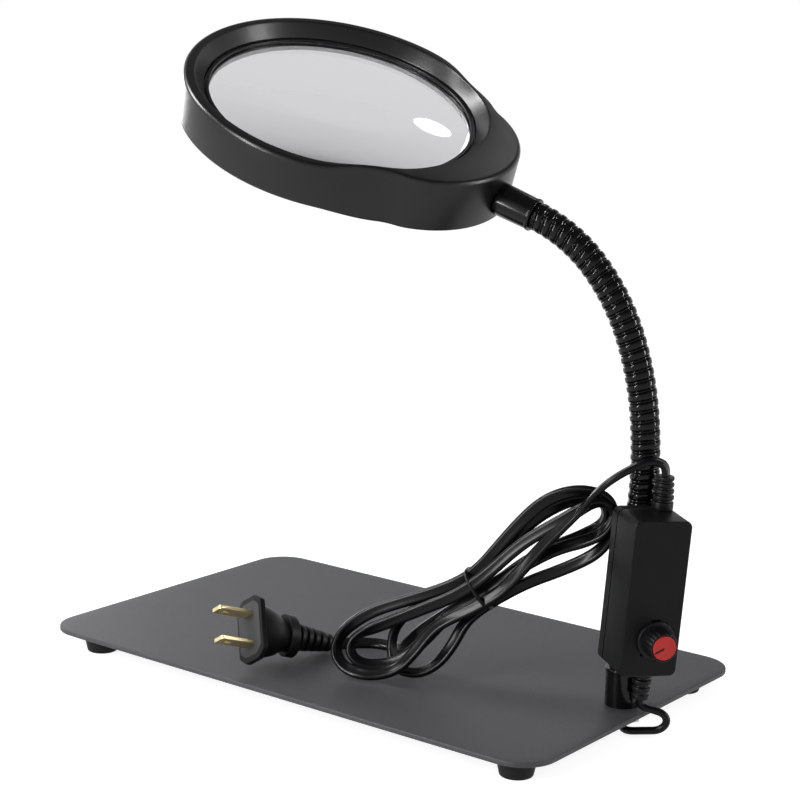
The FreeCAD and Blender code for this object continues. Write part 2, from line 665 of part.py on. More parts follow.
def case_screws():
    """Two screws that close the case from behind."""
    screw = pan_screw(CASE_SCREW_RADIUS, CASE_SCREW_LENGTH, CASE_SCREW_HEAD_RADIUS, CASE_SCREW_HEAD_HEIGHT)
    seat = CASE_DEPTH / 2 - CASE_SCREW_HEAD_HEIGHT
    return Part.makeCompound([along_y(screw, x, seat, z) for x, z in case_screw_places()])


def case_strap():
    """Bent steel strap: a screwed flange, a bow round the stem and a hooked leg in the case's slot."""
    rear = CASE_DEPTH / 2
    outer = STRAP_INNER_RADIUS + STRAP_THICKNESS
    centre = Vector(CASE_OFFSET_X, CASE_OFFSET_Y, -STRAP_HEIGHT / 2)
    bow = Part.makeCylinder(outer, STRAP_HEIGHT, centre)
    bow = bow.common(half_space(CASE_OFFSET_Y, CASE_OFFSET_Y + outer))
    height = (-STRAP_HEIGHT / 2, STRAP_HEIGHT / 2)
    left = CASE_OFFSET_X - outer
    hook_low, hook_high = strap_hook_range()
    legs = [block((left, left + STRAP_THICKNESS), (rear, CASE_OFFSET_Y), height),
            block((left - STRAP_FLANGE, left + STRAP_THICKNESS), (rear, rear + STRAP_THICKNESS), height),
            block((hook_low, hook_high), (rear - STRAP_HOOK_DEPTH, CASE_OFFSET_Y), height)]
    strap = fuse_all([bow] + legs).cut(Part.makeCylinder(STRAP_INNER_RADIUS, STRAP_HEIGHT, centre))
    for x, z in strap_screw_places():
        strap = strap.cut(along_y(cylinder(STRAP_SCREW_RADIUS + HOLE_CLEARANCE, rear, rear + STRAP_THICKNESS),
                                  x, 0, z))
    return strap


def strap_screws():
    """Two screws that hold the strap's flange to the case."""
    screw = pan_screw(STRAP_SCREW_RADIUS, STRAP_SCREW_LENGTH, STRAP_SCREW_HEAD_RADIUS, STRAP_SCREW_HEAD_HEIGHT)
    seat = CASE_DEPTH / 2 + STRAP_THICKNESS
    return Part.makeCompound([along_y(screw, x, seat, z) for x, z in strap_screw_places()])


def ribbed_relief(collar_radius, collar_height, length, ribs, base_radius, tip_radius, core_radius):
    """A bend relief along +Z from Z = 0: a collar, then ribs that taper towards the cord."""
    profile = [(0, 0), (collar_radius, 0), (collar_radius, collar_height)]
    pitch = (length - collar_height) / ribs
    for step in range(ribs):
        radius = base_radius + (tip_radius - base_radius) * step / (ribs - 1)
        top = collar_height + pitch * (step + 1)
        profile += [(core_radius, top - pitch), (core_radius, top - pitch * RELIEF_RIB_SHARE),
                    (radius, top - pitch * RELIEF_RIB_SHARE), (radius, top)]
    return lathe(profile + [(0, length)])


def case_relief(length):
    """A strain relief of the case along +Z, its collar's foot on Z = 0 and its flange inside."""
    outside = ribbed_relief(RELIEF_COLLAR_RADIUS, RELIEF_COLLAR_HEIGHT, length, RELIEF_RIBS,
                            RELIEF_RIB_BASE_RADIUS, RELIEF_RIB_TIP_RADIUS, RELIEF_CORE_RADIUS)
    neck = cylinder(RELIEF_NECK_RADIUS, -CASE_WALL - RELIEF_FLANGE_THICKNESS, 0)
    flange = cylinder(RELIEF_FLANGE_RADIUS, -CASE_WALL - RELIEF_FLANGE_THICKNESS, -CASE_WALL)
    return fuse_all([outside, neck, flange])


def mains_strain_relief():
    """Ribbed bend relief on top of the case."""
    relief = case_relief(MAINS_RELIEF_LENGTH)
    relief.translate(Vector(RELIEF_X, SEAM_DEPTH, CASE_HEIGHT / 2))
    return relief


def output_strain_relief():
    """The longer bend relief below the case."""
    relief = case_relief(OUTPUT_RELIEF_LENGTH)
    relief.rotate(ORIGIN, X_AXIS, 180)
    relief.translate(Vector(RELIEF_X, SEAM_DEPTH, -CASE_HEIGHT / 2))
    return relief


# ================================================================ driver and dimmer
def driver_board():
    """Circuit board across the case, notched round the screw bosses."""
    board = block((-BOARD_WIDTH / 2, BOARD_WIDTH / 2), (BOARD_FRONT_Y, BOARD_FRONT_Y + BOARD_THICKNESS),
                  (-BOARD_HEIGHT / 2, BOARD_HEIGHT / 2))
    for x, z in case_screw_places():
        room = cylinder(CASE_BOSS_RADIUS + HOLE_CLEARANCE, BOARD_FRONT_Y, BOARD_FRONT_Y + BOARD_THICKNESS)
        board = board.cut(along_y(room, x, 0, z))
    return board


def driver_parts():
    """Transformer, smoothing capacitor, controller and fuse on the board."""
    back = BOARD_FRONT_Y + BOARD_THICKNESS
    transformer, controller = (block(part["x"], (BOARD_FRONT_Y - part["height"], BOARD_FRONT_Y), part["z"])
                               for part in (TRANSFORMER, CONTROLLER))
    capacitor = cylinder(CAPACITOR_RADIUS, *CAPACITOR_Z, (CAPACITOR_X, BOARD_FRONT_Y - CAPACITOR_RADIUS))
    fuse = block(FUSE["x"], (back, back + FUSE["height"]), FUSE["z"])
    return Part.makeCompound([transformer, capacitor, controller, fuse])


def potentiometer():
    """Square body of the dimmer on the board, bored for its shaft."""
    floor = CASE_DEPTH / 2 + BOARD_FRONT_Y
    body = block((-POT_WIDTH / 2, POT_WIDTH / 2), (-POT_WIDTH / 2, POT_WIDTH / 2), (-floor, -floor + POT_DEPTH))
    return body.cut(cylinder(SHAFT_RADIUS + RUNNING_CLEARANCE, -floor + POT_DEPTH / 2, 0))


def pot_shaft():
    """The dimmer's shaft, from inside the potentiometer into the knob."""
    low = -CASE_DEPTH / 2 - BOARD_FRONT_Y + POT_DEPTH / 2 + RUNNING_CLEARANCE
    return cylinder(SHAFT_RADIUS, low, low + SHAFT_LENGTH)


def star(radius, height):
    """A closed zigzag round the knob's axis, for its grip."""
    corners = []
    for step in range(KNOB_FLUTES * 2):
        reach = radius - KNOB_FLUTE_DEPTH * (step % 2)
        angle = math.pi * step / KNOB_FLUTES
        corners.append(Vector(reach * math.cos(angle), reach * math.sin(angle), height))
    return Part.makePolygon(corners + corners[:1])


def dimmer_knob():
    """Fluted knob with a skirt that sits in the case's hole."""
    shoulder = KNOB_SKIRT_HEIGHT - KNOB_SUNK
    skirt = lathe([(0, -KNOB_SUNK), (KNOB_SKIRT_RADIUS, -KNOB_SUNK),
                   (KNOB_SKIRT_RADIUS, shoulder - KNOB_SKIRT_CHAMFER),
                   (KNOB_SKIRT_RADIUS - KNOB_SKIRT_CHAMFER, shoulder), (0, shoulder)])
    grip = Part.makeLoft([star(KNOB_GRIP_BASE_RADIUS, shoulder),
                          star(KNOB_GRIP_TOP_RADIUS, KNOB_PROUD - CAP_PROUD)], True, True)
    low = -CASE_DEPTH / 2 - BOARD_FRONT_Y + POT_DEPTH / 2 + RUNNING_CLEARANCE
    bore = cylinder(SHAFT_RADIUS + SCREW_FIT, -KNOB_SUNK, low + SHAFT_LENGTH + SCREW_FIT)
    pocket = cylinder(CAP_RADIUS + SCREW_FIT, KNOB_PROUD - CAP_THICKNESS - SCREW_FIT, KNOB_PROUD)
    return fuse_all([skirt, grip]).cut(bore).cut(pocket)


def knob_cap():
    """Coloured cap in the knob's end, with a groove for a pointer."""
    cap = cylinder(CAP_RADIUS, KNOB_PROUD - CAP_THICKNESS, KNOB_PROUD)
    pointer = block((0, CAP_RADIUS), (-POINTER_WIDTH / 2, POINTER_WIDTH / 2), (KNOB_PROUD - POINTER_DEPTH, KNOB_PROUD))
    pointer.rotate(ORIGIN, Z_AXIS, POINTER_ANGLE)
    return cap.cut(pointer)


# ================================================================ head
def head_outline(inset):
    """The head's outline at Z = 0: a circle and the handle's lobe, joined by hollow arcs."""
    far = HEAD_RADIUS + LOBE_BLEND_RADIUS
    near = LOBE_RADIUS + LOBE_BLEND_RADIUS
    blend_x = (far ** 2 - near ** 2 + LOBE_OFFSET ** 2) / (2 * LOBE_OFFSET)
    blend_y = math.sqrt(far ** 2 - blend_x ** 2)
    big, lobe, hollow = HEAD_RADIUS - inset, LOBE_RADIUS - inset, LOBE_BLEND_RADIUS + inset
    on_circle = Vector(blend_x * big / far, blend_y * big / far, 0)
    on_lobe = Vector(LOBE_OFFSET + (blend_x - LOBE_OFFSET) * lobe / near, blend_y * lobe / near, 0)
    centre = Vector(blend_x, blend_y, 0)
    middle = centre + ((on_circle + on_lobe) / 2 - centre).normalize() * hollow

    def mirrored(point):
        return Vector(point.x, -point.y, 0)

    arcs = [Part.Arc(on_circle, Vector(-big, 0, 0), mirrored(on_circle)),
            Part.Arc(mirrored(on_circle), mirrored(middle), mirrored(on_lobe)),
            Part.Arc(mirrored(on_lobe), Vector(LOBE_OFFSET + lobe, 0, 0), on_lobe),
            Part.Arc(on_lobe, middle, on_circle)]
    return Part.Wire([arc.toShape() for arc in arcs])


def head_slab(inset, top, bottom):
    """The outline as a slab between two depths below the head's top face."""
    slab = Part.Face(head_outline(inset)).extrude(Vector(0, 0, top - bottom))
    slab.translate(Vector(0, 0, -top))
    return slab


def head_bore():
    """What the lens opening takes out of the head: dish, seat, ledge and the opening below."""
    ledge_bottom = SEAT_DEPTH + LEDGE_THICKNESS
    profile = [(0, 1.0), (DISH_RADIUS + DISH_EDGE_BREAK, 1.0), (DISH_RADIUS + DISH_EDGE_BREAK, 0),
               (DISH_RADIUS, -DISH_EDGE_BREAK), (SEAT_RADIUS, -DISH_DEPTH), (SEAT_RADIUS, -SEAT_DEPTH),
               (LEDGE_RADIUS, -SEAT_DEPTH), (LEDGE_RADIUS, -ledge_bottom), (SLEEVE_INNER_RADIUS, -ledge_bottom),
               (SLEEVE_INNER_RADIUS, -HEAD_HEIGHT - 1.0), (0, -HEAD_HEIGHT - 1.0)]
    return lathe(profile)


def head_core():
    """The solid stock round the lens opening: the dish's wall and the sleeve below it."""
    slope = (DISH_RADIUS - SEAT_RADIUS) / DISH_DEPTH
    shoulder = DISH_DEPTH + 1.0
    top_radius = SLEEVE_OUTER_RADIUS + slope * (shoulder - HEAD_DECK / 2)
    return lathe([(0, -HEAD_DECK / 2), (top_radius, -HEAD_DECK / 2), (SLEEVE_OUTER_RADIUS, -shoulder),
                  (SLEEVE_OUTER_RADIUS, -DIFFUSER_TOP + STACK_GAP), (0, -DIFFUSER_TOP + STACK_GAP)])


def head_rib_angles():
    """Directions of the stiffening ribs between the sleeve and the wall, clear of the handle."""
    first = 180.0 - HEAD_RIB_STEP * (HEAD_RIBS - 1) / 2 * 0.8
    return [first + HEAD_RIB_STEP * 0.8 * step for step in range(HEAD_RIBS)]


def head_screw_places():
    """Places of the cover's two screws in the handle."""
    return [(HEAD_SCREW_X, -HEAD_SCREW_SPACING / 2), (HEAD_SCREW_X, HEAD_SCREW_SPACING / 2)]


def handle_outside(inset, top, bottom):
    """The part of the head's slab that belongs to the deeper handle, outside the ring."""
    slab = head_slab(inset, top, bottom)
    slab = slab.cut(cylinder(HEAD_RADIUS + inset, -bottom, -top))
    return slab.cut(block((-HEAD_RADIUS, HANDLE_START_X), (-HEAD_RADIUS, HEAD_RADIUS), (-bottom, -top)))


def head_underside():
    """The room below the head: flat under the ring, then sloping down to the deeper handle."""
    side, low = -HEAD_RADIUS * 2, -HANDLE_DEPTH - HEAD_WALL
    profile = [(side, -HEAD_HEIGHT), (HANDLE_START_X - HANDLE_RAMP_LENGTH, -HEAD_HEIGHT),
               (HANDLE_START_X, -HANDLE_DEPTH), (HANDLE_START_X, low), (side, low)]
    points = [Vector(x, side, z) for x, z in profile]
    return Part.Face(Part.makePolygon(points + points[:1])).extrude(Vector(0, -side * 2, 0))


def head_housing():
    """Moulded upper shell: flat rim, dished lens opening with its seat, ribs, bosses and the deeper handle."""
    shell = head_slab(0, 0, HANDLE_DEPTH)
    shell = shell.makeFillet(HEAD_TOP_FILLET, edges_at(shell, 0))
    shell = shell.makeChamfer(HEAD_BOTTOM_CHAMFER, edges_at(shell, -HANDLE_DEPTH)).cut(head_underside())
    cavity = head_slab(HEAD_WALL, HEAD_DECK, HANDLE_DEPTH + HEAD_WALL)
    partition = tube(PARTITION_RADIUS, HEAD_RADIUS - HEAD_WALL, -HANDLE_DEPTH - HEAD_WALL, -PARTITION_DEPTH)
    shell = shell.cut(cavity.cut(head_core()).cut(partition))
    middle_radius = (SLEEVE_OUTER_RADIUS + HEAD_RADIUS) / 2
    reach = (HEAD_RADIUS - HEAD_WALL / 2 - SLEEVE_OUTER_RADIUS + SLEEVE_WALL / 2) / 2
    additions = []
    for angle in head_rib_angles():
        rib = block((middle_radius - reach, middle_radius + reach), (-HEAD_RIB_THICKNESS / 2, HEAD_RIB_THICKNESS / 2),
                    (-LED_BOARD_TOP, -HEAD_DECK / 2))
        rib.rotate(ORIGIN, Z_AXIS, angle)
        additions.append(rib)
    for x, y in head_screw_places():
        additions.append(cylinder(HEAD_BOSS_RADIUS, -HANDLE_COVER_TOP, -HEAD_DECK / 2, (x, y)))
    pad = block((LOBE_END - HEAD_WALL - FERRULE_PAD_THICKNESS, LOBE_END - HEAD_WALL / 2),
                (-FERRULE_PAD_WIDTH / 2, FERRULE_PAD_WIDTH / 2), (-HANDLE_COVER_TOP + STACK_GAP, -HEAD_DECK / 2))
    shell = fuse_all([shell] + additions + [pad.common(head_slab(HEAD_WALL / 2, 0, HANDLE_DEPTH))])
    shell = shell.cut(head_bore())
    hole = Part.makeCylinder(STUB_RADIUS + HOLE_CLEARANCE, HEAD_WALL * 4,
                             Vector(LOBE_END - HEAD_WALL * 3, 0, -FERRULE_DROP), X_AXIS)
    shell = shell.cut(hole)
    for x, y in head_screw_places():
        pilot_top = HANDLE_DEPTH - HEAD_SCREW_LENGTH
        shell = shell.cut(cylinder(HEAD_SCREW_RADIUS + SCREW_FIT, -HANDLE_COVER_TOP, -pilot_top, (x, y)))
    return shell.removeSplitter()


def head_cover():
    """Ring under the light: lies inside the wall, carries the diffuser and snaps in by three hooks."""
    outer = HEAD_RADIUS - HEAD_WALL - COVER_GAP
    cover = tube(outer, COVER_OPENING_RADIUS, -HEAD_HEIGHT, -COVER_TOP)
    hooks = []
    for angle in HOOK_ANGLES:
        hook = block((outer - HOOK_THICKNESS, outer), (-HOOK_WIDTH / 2, HOOK_WIDTH / 2),
                     (-HEAD_HEIGHT, -COVER_TOP + HOOK_HEIGHT))
        hook = hook.common(cylinder(outer, -HEAD_HEIGHT, 0))
        hook.rotate(ORIGIN, Z_AXIS, angle)
        hooks.append(hook)
    return fuse_all([cover] + hooks)


def handle_cover():
    """Plate that closes the handle from below, held by two countersunk screws."""
    cover = handle_outside(HEAD_WALL + COVER_GAP, HANDLE_COVER_TOP, HANDLE_DEPTH)
    for x, y in head_screw_places():
        sink = Part.makeCone(HEAD_SCREW_HEAD_RADIUS + HOLE_CLEARANCE / 2, HEAD_SCREW_RADIUS + HOLE_CLEARANCE / 2,
                             HEAD_SCREW_HEAD_HEIGHT, Vector(x, y, -HANDLE_DEPTH))
        cover = cover.cut(sink)
        through = cylinder(HEAD_SCREW_RADIUS + HOLE_CLEARANCE / 2, -HANDLE_DEPTH, -HANDLE_COVER_TOP, (x, y))
        cover = cover.cut(through)
    return cover


def head_screws():
    """Countersunk screws of the handle's cover."""
    screws = []
    for x, y in head_screw_places():
        head = Part.makeCone(HEAD_SCREW_HEAD_RADIUS, HEAD_SCREW_RADIUS, HEAD_SCREW_HEAD_HEIGHT,
                             Vector(x, y, -HANDLE_DEPTH))
        shank = cylinder(HEAD_SCREW_RADIUS, -HANDLE_DEPTH, -HANDLE_DEPTH + HEAD_SCREW_LENGTH, (x, y))
        screws.append(head.fuse(shank).removeSplitter())
    return Part.makeCompound(screws)


def lens_cap(rim_z, direction):
    """One curved face's share of the lens, above or below its flat rim."""
    sag = LENS_SURFACE_RADIUS - math.sqrt(LENS_SURFACE_RADIUS ** 2 - LENS_CLEAR_RADIUS ** 2)
    rim = Vector(LENS_CLEAR_RADIUS, 0, rim_z)
    apex = Vector(0, 0, rim_z + direction * sag)
    half = LENS_CLEAR_RADIUS / 2
    rise = math.sqrt(LENS_SURFACE_RADIUS ** 2 - half ** 2) - LENS_SURFACE_RADIUS + sag
    arc = Part.Arc(rim, Vector(half, 0, rim_z + direction * rise), apex).toShape()
    foot = Vector(0, 0, rim_z)
    wire = Part.Wire([Part.makeLine(foot, rim), arc, Part.makeLine(apex, foot)])
    return Part.Face(wire).revolve(ORIGIN, Z_AXIS, 360)


def lens():
    """Biconvex magnifying lens with a flat land round its edge."""
    low = -LENS_TOP - LENS_EDGE
    edge = cylinder(LENS_RADIUS, low, -LENS_TOP)
    return fuse_all([edge, lens_cap(-LENS_TOP, 1), lens_cap(low, -1)])


def lens_ring():
    """Thin ring that holds the lens down on its seat."""
    bottom = -LENS_TOP + STACK_GAP
    return tube(LENS_RING_OUTER_RADIUS, LENS_RING_INNER_RADIUS, bottom, bottom + LENS_RING_THICKNESS)


def led_board():
    """Ring-shaped circuit board pressed against the housing's ribs."""
    outer = HEAD_RADIUS - HEAD_WALL - LED_BOARD_GAP
    return tube(outer, SLEEVE_OUTER_RADIUS + LED_BOARD_GAP, -LED_BOARD_BOTTOM, -LED_BOARD_TOP - STACK_GAP)


def leds():
    """The ring of surface-mounted diodes under the board."""
    chips = []
    for step in range(LED_COUNT):
        chip = block((LED_RING_RADIUS - LED_DEPTH / 2, LED_RING_RADIUS + LED_DEPTH / 2),
                     (-LED_WIDTH / 2, LED_WIDTH / 2), (-LED_BOARD_BOTTOM - LED_HEIGHT, -LED_BOARD_BOTTOM))
        chip.rotate(ORIGIN, Z_AXIS, 360.0 * (step + 0.5) / LED_COUNT)
        chips.append(chip)
    return Part.makeCompound(chips)


def light_diffuser():
    """Milky ring below the diodes, resting on the cover's lip."""
    return tube(DIFFUSER_OUTER_RADIUS, DIFFUSER_INNER_RADIUS, -COVER_TOP + STACK_GAP, -DIFFUSER_TOP)


def upper_ferrule():
    """Turned ferrule: a socket for the neck and a hollow threaded stub through the head's end wall."""
    seat = LOBE_END + FERRULE_SEAT_GAP
    stub_end = LOBE_END - HEAD_WALL - FERRULE_PAD_THICKNESS - FERRULE_NUT_THICKNESS - STUB_PROUD
    socket = HEAD_REACH - NECK_PLUG_LENGTH
    shape = lathe([(STUB_BORE_RADIUS, stub_end), (STUB_RADIUS, stub_end), (STUB_RADIUS, seat),
                   (FERRULE_WALL_RADIUS, seat), (FERRULE_NECK_RADIUS, HEAD_REACH - FERRULE_RIM_WIDTH),
                   (FERRULE_RIM_RADIUS, HEAD_REACH - FERRULE_RIM_WIDTH), (FERRULE_RIM_RADIUS, HEAD_REACH),
                   (NECK_CORE_RADIUS + RUNNING_CLEARANCE, HEAD_REACH), (NECK_CORE_RADIUS + RUNNING_CLEARANCE, socket),
                   (STUB_BORE_RADIUS, socket)])
    shape.rotate(ORIGIN, Y_AXIS, 90)
    return shape


def ferrule_nut():
    """Hexagon nut on the stub, against the pad inside the handle."""
    high = LOBE_END - HEAD_WALL - FERRULE_PAD_THICKNESS - STACK_GAP
    low = high - FERRULE_NUT_THICKNESS
    nut = hexagon(FERRULE_NUT_FLATS, low, high, 30).cut(cylinder(STUB_RADIUS + RUNNING_CLEARANCE, low, high))
    nut.rotate(ORIGIN, Y_AXIS, 90)
    nut.rotate(ORIGIN, X_AXIS, 90)
    return nut


# ================================================================ plug
def oval(radius, depth):
    """An oval round the plug's axis, that far behind its face."""
    return Part.Wire(Part.Ellipse(Vector(0, 0, -depth), radius, radius * PLUG_FLATTENING).toShape())


def plug_blades():
    """Two flat blades with a round hole near each tip, rooted in the body."""
    blades = []
    for side in (-1, 1):
        x = side * BLADE_SPACING / 2
        blade = block((x - BLADE_THICKNESS / 2, x + BLADE_THICKNESS / 2), (-BLADE_WIDTH / 2, BLADE_WIDTH / 2),
                      (-BLADE_ROOTED, BLADE_LENGTH))
        hole = Part.makeCylinder(BLADE_HOLE_RADIUS, BLADE_THICKNESS,
                                 Vector(x - BLADE_THICKNESS / 2, 0, BLADE_LENGTH - BLADE_HOLE_FROM_TIP), X_AXIS)
        blades.append(blade.cut(hole))
    return Part.makeCompound(blades)


def plug_body():
    """Moulded plug: an eight-cornered flange, a rounded body, a ring and a ribbed bend relief."""
    long_half, wide_half = PLUG_FLANGE_LENGTH / 2, PLUG_FLANGE_WIDTH / 2
    short_x, short_y = long_half - PLUG_FLANGE_CUT_X, wide_half - PLUG_FLANGE_CUT_Y
    quarter = [(long_half, short_y), (short_x, wide_half), (-short_x, wide_half), (-long_half, short_y)]
    outline = quarter + [(-x, -y) for x, y in quarter]
    corners = [Vector(x, y, -PLUG_FLANGE_THICKNESS) for x, y in outline]
    flange = Part.Face(Part.makePolygon(corners + corners[:1])).extrude(Vector(0, 0, PLUG_FLANGE_THICKNESS))
    body = Part.makeLoft([oval(radius, depth) for radius, depth in PLUG_SECTIONS], True, True)
    ring_start = PLUG_SECTIONS[-1][1]
    ring = Part.makeLoft([oval(PLUG_RING_RADIUS, ring_start), oval(PLUG_RING_RADIUS, PLUG_RING_END)], True, True)
    relief = ribbed_relief(PLUG_RIB_BASE_RADIUS, PLUG_RIB_COLLAR, PLUG_RELIEF_LENGTH, PLUG_RIBS,
                           PLUG_RIB_BASE_RADIUS, PLUG_RIB_TIP_RADIUS, PLUG_CORE_RADIUS)
    relief.rotate(ORIGIN, X_AXIS, 180)
    relief.translate(Vector(0, 0, -PLUG_RING_END))
    plug = fuse_all([flange, body, ring, relief])
    rooted = block((-BLADE_SPACING, BLADE_SPACING), (-BLADE_WIDTH, BLADE_WIDTH), (0, BLADE_LENGTH))
    return plug.cut(rooted).cut(plug_blades())


# ================================================================ cords
def rounded_route(points, label):
    """A wire of straight runs through the points, joined by tangent arcs as large as the runs allow."""
    runs = [(after - before).Length for before, after in zip(points, points[1:])]
    edges = []
    start = points[0]
    radii = []
    for index in range(1, len(points) - 1):
        before = (points[index] - points[index - 1]).normalize()
        after = (points[index + 1] - points[index]).normalize()
        half_turn = before.getAngle(after) / 2
        setback = 0.45 * min(runs[index - 1], runs[index])
        radii.append(round(setback / math.tan(half_turn), 1))
        enter = points[index] - before * setback
        leave = points[index] + after * setback
        inward = (after - before).normalize()
        depth = setback * math.tan(half_turn / 2) if half_turn < 1.5 else setback
        middle = points[index] + inward * depth
        edges.append(Part.LineSegment(start, enter).toShape())
        edges.append(Part.Arc(enter, middle, leave).toShape())
        start = leave
    edges.append(Part.LineSegment(start, points[-1]).toShape())
    wire = Part.Wire(edges)
    print(label, "length", round(wire.Length, 1), "radii", radii, "runs", [round(run, 1) for run in runs])
    return wire


def cord_tube(points, diameter, label):
    """A round tube along the rounded route."""
    wire = rounded_route(points, label)
    direction = points[1] - points[0]
    ring = Part.Wire(Part.makeCircle(diameter / 2, points[0], direction))
    solid = wire.makePipeShell([ring], True, False)
    print(label, "volume ratio", round(solid.Volume / (math.pi * diameter ** 2 / 4 * wire.Length), 4))
    return solid


def relief_tip(side):
    """The end of the case's strain relief, on top (1) or below (-1), where its cord leaves."""
    length = MAINS_RELIEF_LENGTH if side > 0 else OUTPUT_RELIEF_LENGTH
    return case_frame().multVec(Vector(RELIEF_X, SEAM_DEPTH, side * (CASE_HEIGHT / 2 + length)))


def plug_tail():
    """The end of the plug's bend relief."""
    return plug_frame().multVec(Vector(0, 0, -PLUG_RING_END - PLUG_RELIEF_LENGTH))


def hank_point(along, up, out=0.0):
    """A point of the hank's plane in the plate's frame."""
    return hank_frame().multVec(Vector(along, up, out))


def hank_lobe(lobe):
    """One lobe of the hank: an oval slab with softened edges."""
    ellipse = Part.Ellipse(ORIGIN, lobe["length"] / 2, lobe["width"] / 2)
    slab = Part.Face(Part.Wire(ellipse.toShape())).extrude(Vector(0, 0, HANK_THICKNESS))
    slab.translate(Vector(0, 0, -HANK_THICKNESS / 2))
    slab.rotate(ORIGIN, Z_AXIS, lobe["turn"])
    slab.translate(Vector(lobe["centre"][0], lobe["centre"][1], 0))
    return slab


def hank_waist(grow):
    """The gathered middle of the hank, where the tie goes round it."""
    length = HANK_WAIST_LENGTH if grow == 0 else TIE_WIDTH
    waist = block((-length / 2, length / 2), (-HANK_WAIST_WIDTH / 2 - grow, HANK_WAIST_WIDTH / 2 + grow),
                  (-HANK_THICKNESS / 2 - grow, HANK_THICKNESS / 2 + grow))
    waist.rotate(ORIGIN, Z_AXIS, HANK_WAIST_TURN)
    waist.translate(Vector(HANK_WAIST_CENTRE[0], HANK_WAIST_CENTRE[1], 0))
    return waist


def cord_hank():
    """Closed outer form of the folded cord: two oval lobes and a gathered middle."""
    return placed(fuse_all([hank_lobe(HANK_LOWER), hank_lobe(HANK_UPPER), hank_waist(0)]), hank_frame())


def cord_tie():
    """Wire tie round the hank's middle."""
    return placed(hank_waist(TIE_THICKNESS).cut(hank_waist(0)), hank_frame())


def mains_cord_points():
    """Route of the cord from the case's upper relief to the hank."""
    exit_point = relief_tip(1)
    rise = case_frame().Rotation.multVec(Z_AXIS)
    route = [Vector(*point) for point in MAINS_ROUTE]
    return [exit_point, exit_point + rise * MAINS_EXIT_RUN] + route + [hank_point(*MAINS_HANK_ENTRY)]


def mains_cord_tail_points():
    """Route of the cord from the hank to the plug."""
    end = plug_tail()
    back = plug_frame().Rotation.multVec(Vector(0, 0, -1))
    route = [Vector(*point) for point in TAIL_ROUTE]
    return [hank_point(*TAIL_HANK_EXIT)] + route + [end + back * TAIL_EXIT_RUN, end]


def output_cable_points():
    """Route of the thin cable from the case's lower relief, round the plate's edge and up the post."""
    exit_point = relief_tip(-1)
    drop = case_frame().Rotation.multVec(Vector(0, 0, -1))
    route = [Vector(POST_X + x, POST_Y + y, z) for x, y, z in CABLE_ROUTE]
    corner = Vector(POST_X, POST_Y, TAIL_BOTTOM - CABLE_DIAMETER / 2 - CABLE_UNDER_GAP)
    return [exit_point, exit_point + drop * CABLE_EXIT_RUN] + route + [corner, corner + Z_AXIS * CABLE_RISE]


# ================================================================ assembly
def model():
    """Every node of the lamp in the plate's frame, by name."""
    case, knob, head, plug = case_frame(), knob_frame(), head_frame(), plug_frame()
    stem, link_1, link_2, link_3, tip = neck_pieces()
    nodes = {"base_plate": base_plate(), "rubber_feet": rubber_feet(), "lower_ferrule": lower_ferrule(),
             "post_washer": post_washer(), "post_nut": post_nut(), "gooseneck_stem": stem,
             "gooseneck_1": link_1, "gooseneck_2": link_2, "gooseneck_3": link_3, "gooseneck_tip": tip}
    for build in (case_front, case_rear, case_screws, case_strap, strap_screws, driver_board, driver_parts,
                  mains_strain_relief, output_strain_relief):
        nodes[build.__name__] = placed(build(), case)
    for build in (potentiometer, pot_shaft, dimmer_knob, knob_cap):
        nodes[build.__name__] = placed(build(), knob)
    for build in (head_housing, head_cover, handle_cover, head_screws, lens, lens_ring, led_board, leds, light_diffuser):
        nodes[build.__name__] = placed(build(), head)
    for build in (upper_ferrule, ferrule_nut):
        nodes[build.__name__] = placed(build(), ferrule_frame())
    for build in (plug_body, plug_blades):
        nodes[build.__name__] = placed(build(), plug)
    nodes["output_cable"] = cord_tube(output_cable_points(), CABLE_DIAMETER, "output_cable")
    nodes["mains_cord"] = cord_tube(mains_cord_points(), CORD_DIAMETER, "mains_cord")
    nodes["cord_hank"] = cord_hank()
    nodes["cord_tie"] = cord_tie()
    nodes["mains_cord_tail"] = cord_tube(mains_cord_tail_points(), CORD_DIAMETER, "mains_cord_tail")
    return nodes


CORD_NODES = ("mains_cord", "cord_hank", "cord_tie", "mains_cord_tail", "plug_body", "plug_blades")


def origin_shift(nodes):
    """From the plate's frame to the lamp's: the floor point under the centre of its bounding box."""
    box = FreeCAD.BoundBox()
    for name, shape in nodes.items():
        if name not in CORD_NODES:
            box.add(shape.optimalBoundingBox(False))
    return Vector(-(box.XMin + box.XMax) / 2, -(box.YMin + box.YMax) / 2, 0)


def main():
    """Write one STEP file per node."""
    os.makedirs("parts", exist_ok=True)
    nodes = model()
    shift = origin_shift(nodes)
    print("shift", shift)
    for name, shape in nodes.items():
        shape.translate(shift)
        if not shape.isValid():
            print("invalid shape:", name)
        shape.exportStep("parts/" + name + ".step")
    print(len(nodes), "nodes")


if __name__ == "__main__":
    main()
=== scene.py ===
"""Gooseneck magnifier lamp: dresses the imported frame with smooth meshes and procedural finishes.

Lengths inside the classes are in millimetres, in each piece's own frame; Frame.place turns them
into metres in the lamp's frame.  X runs along the plate towards the post, Y to the back, Z up.
"""

import logging
import math
from dataclasses import dataclass
from enum import Enum

import bmesh
import bpy
import numpy as np
from mathutils import Matrix, Vector


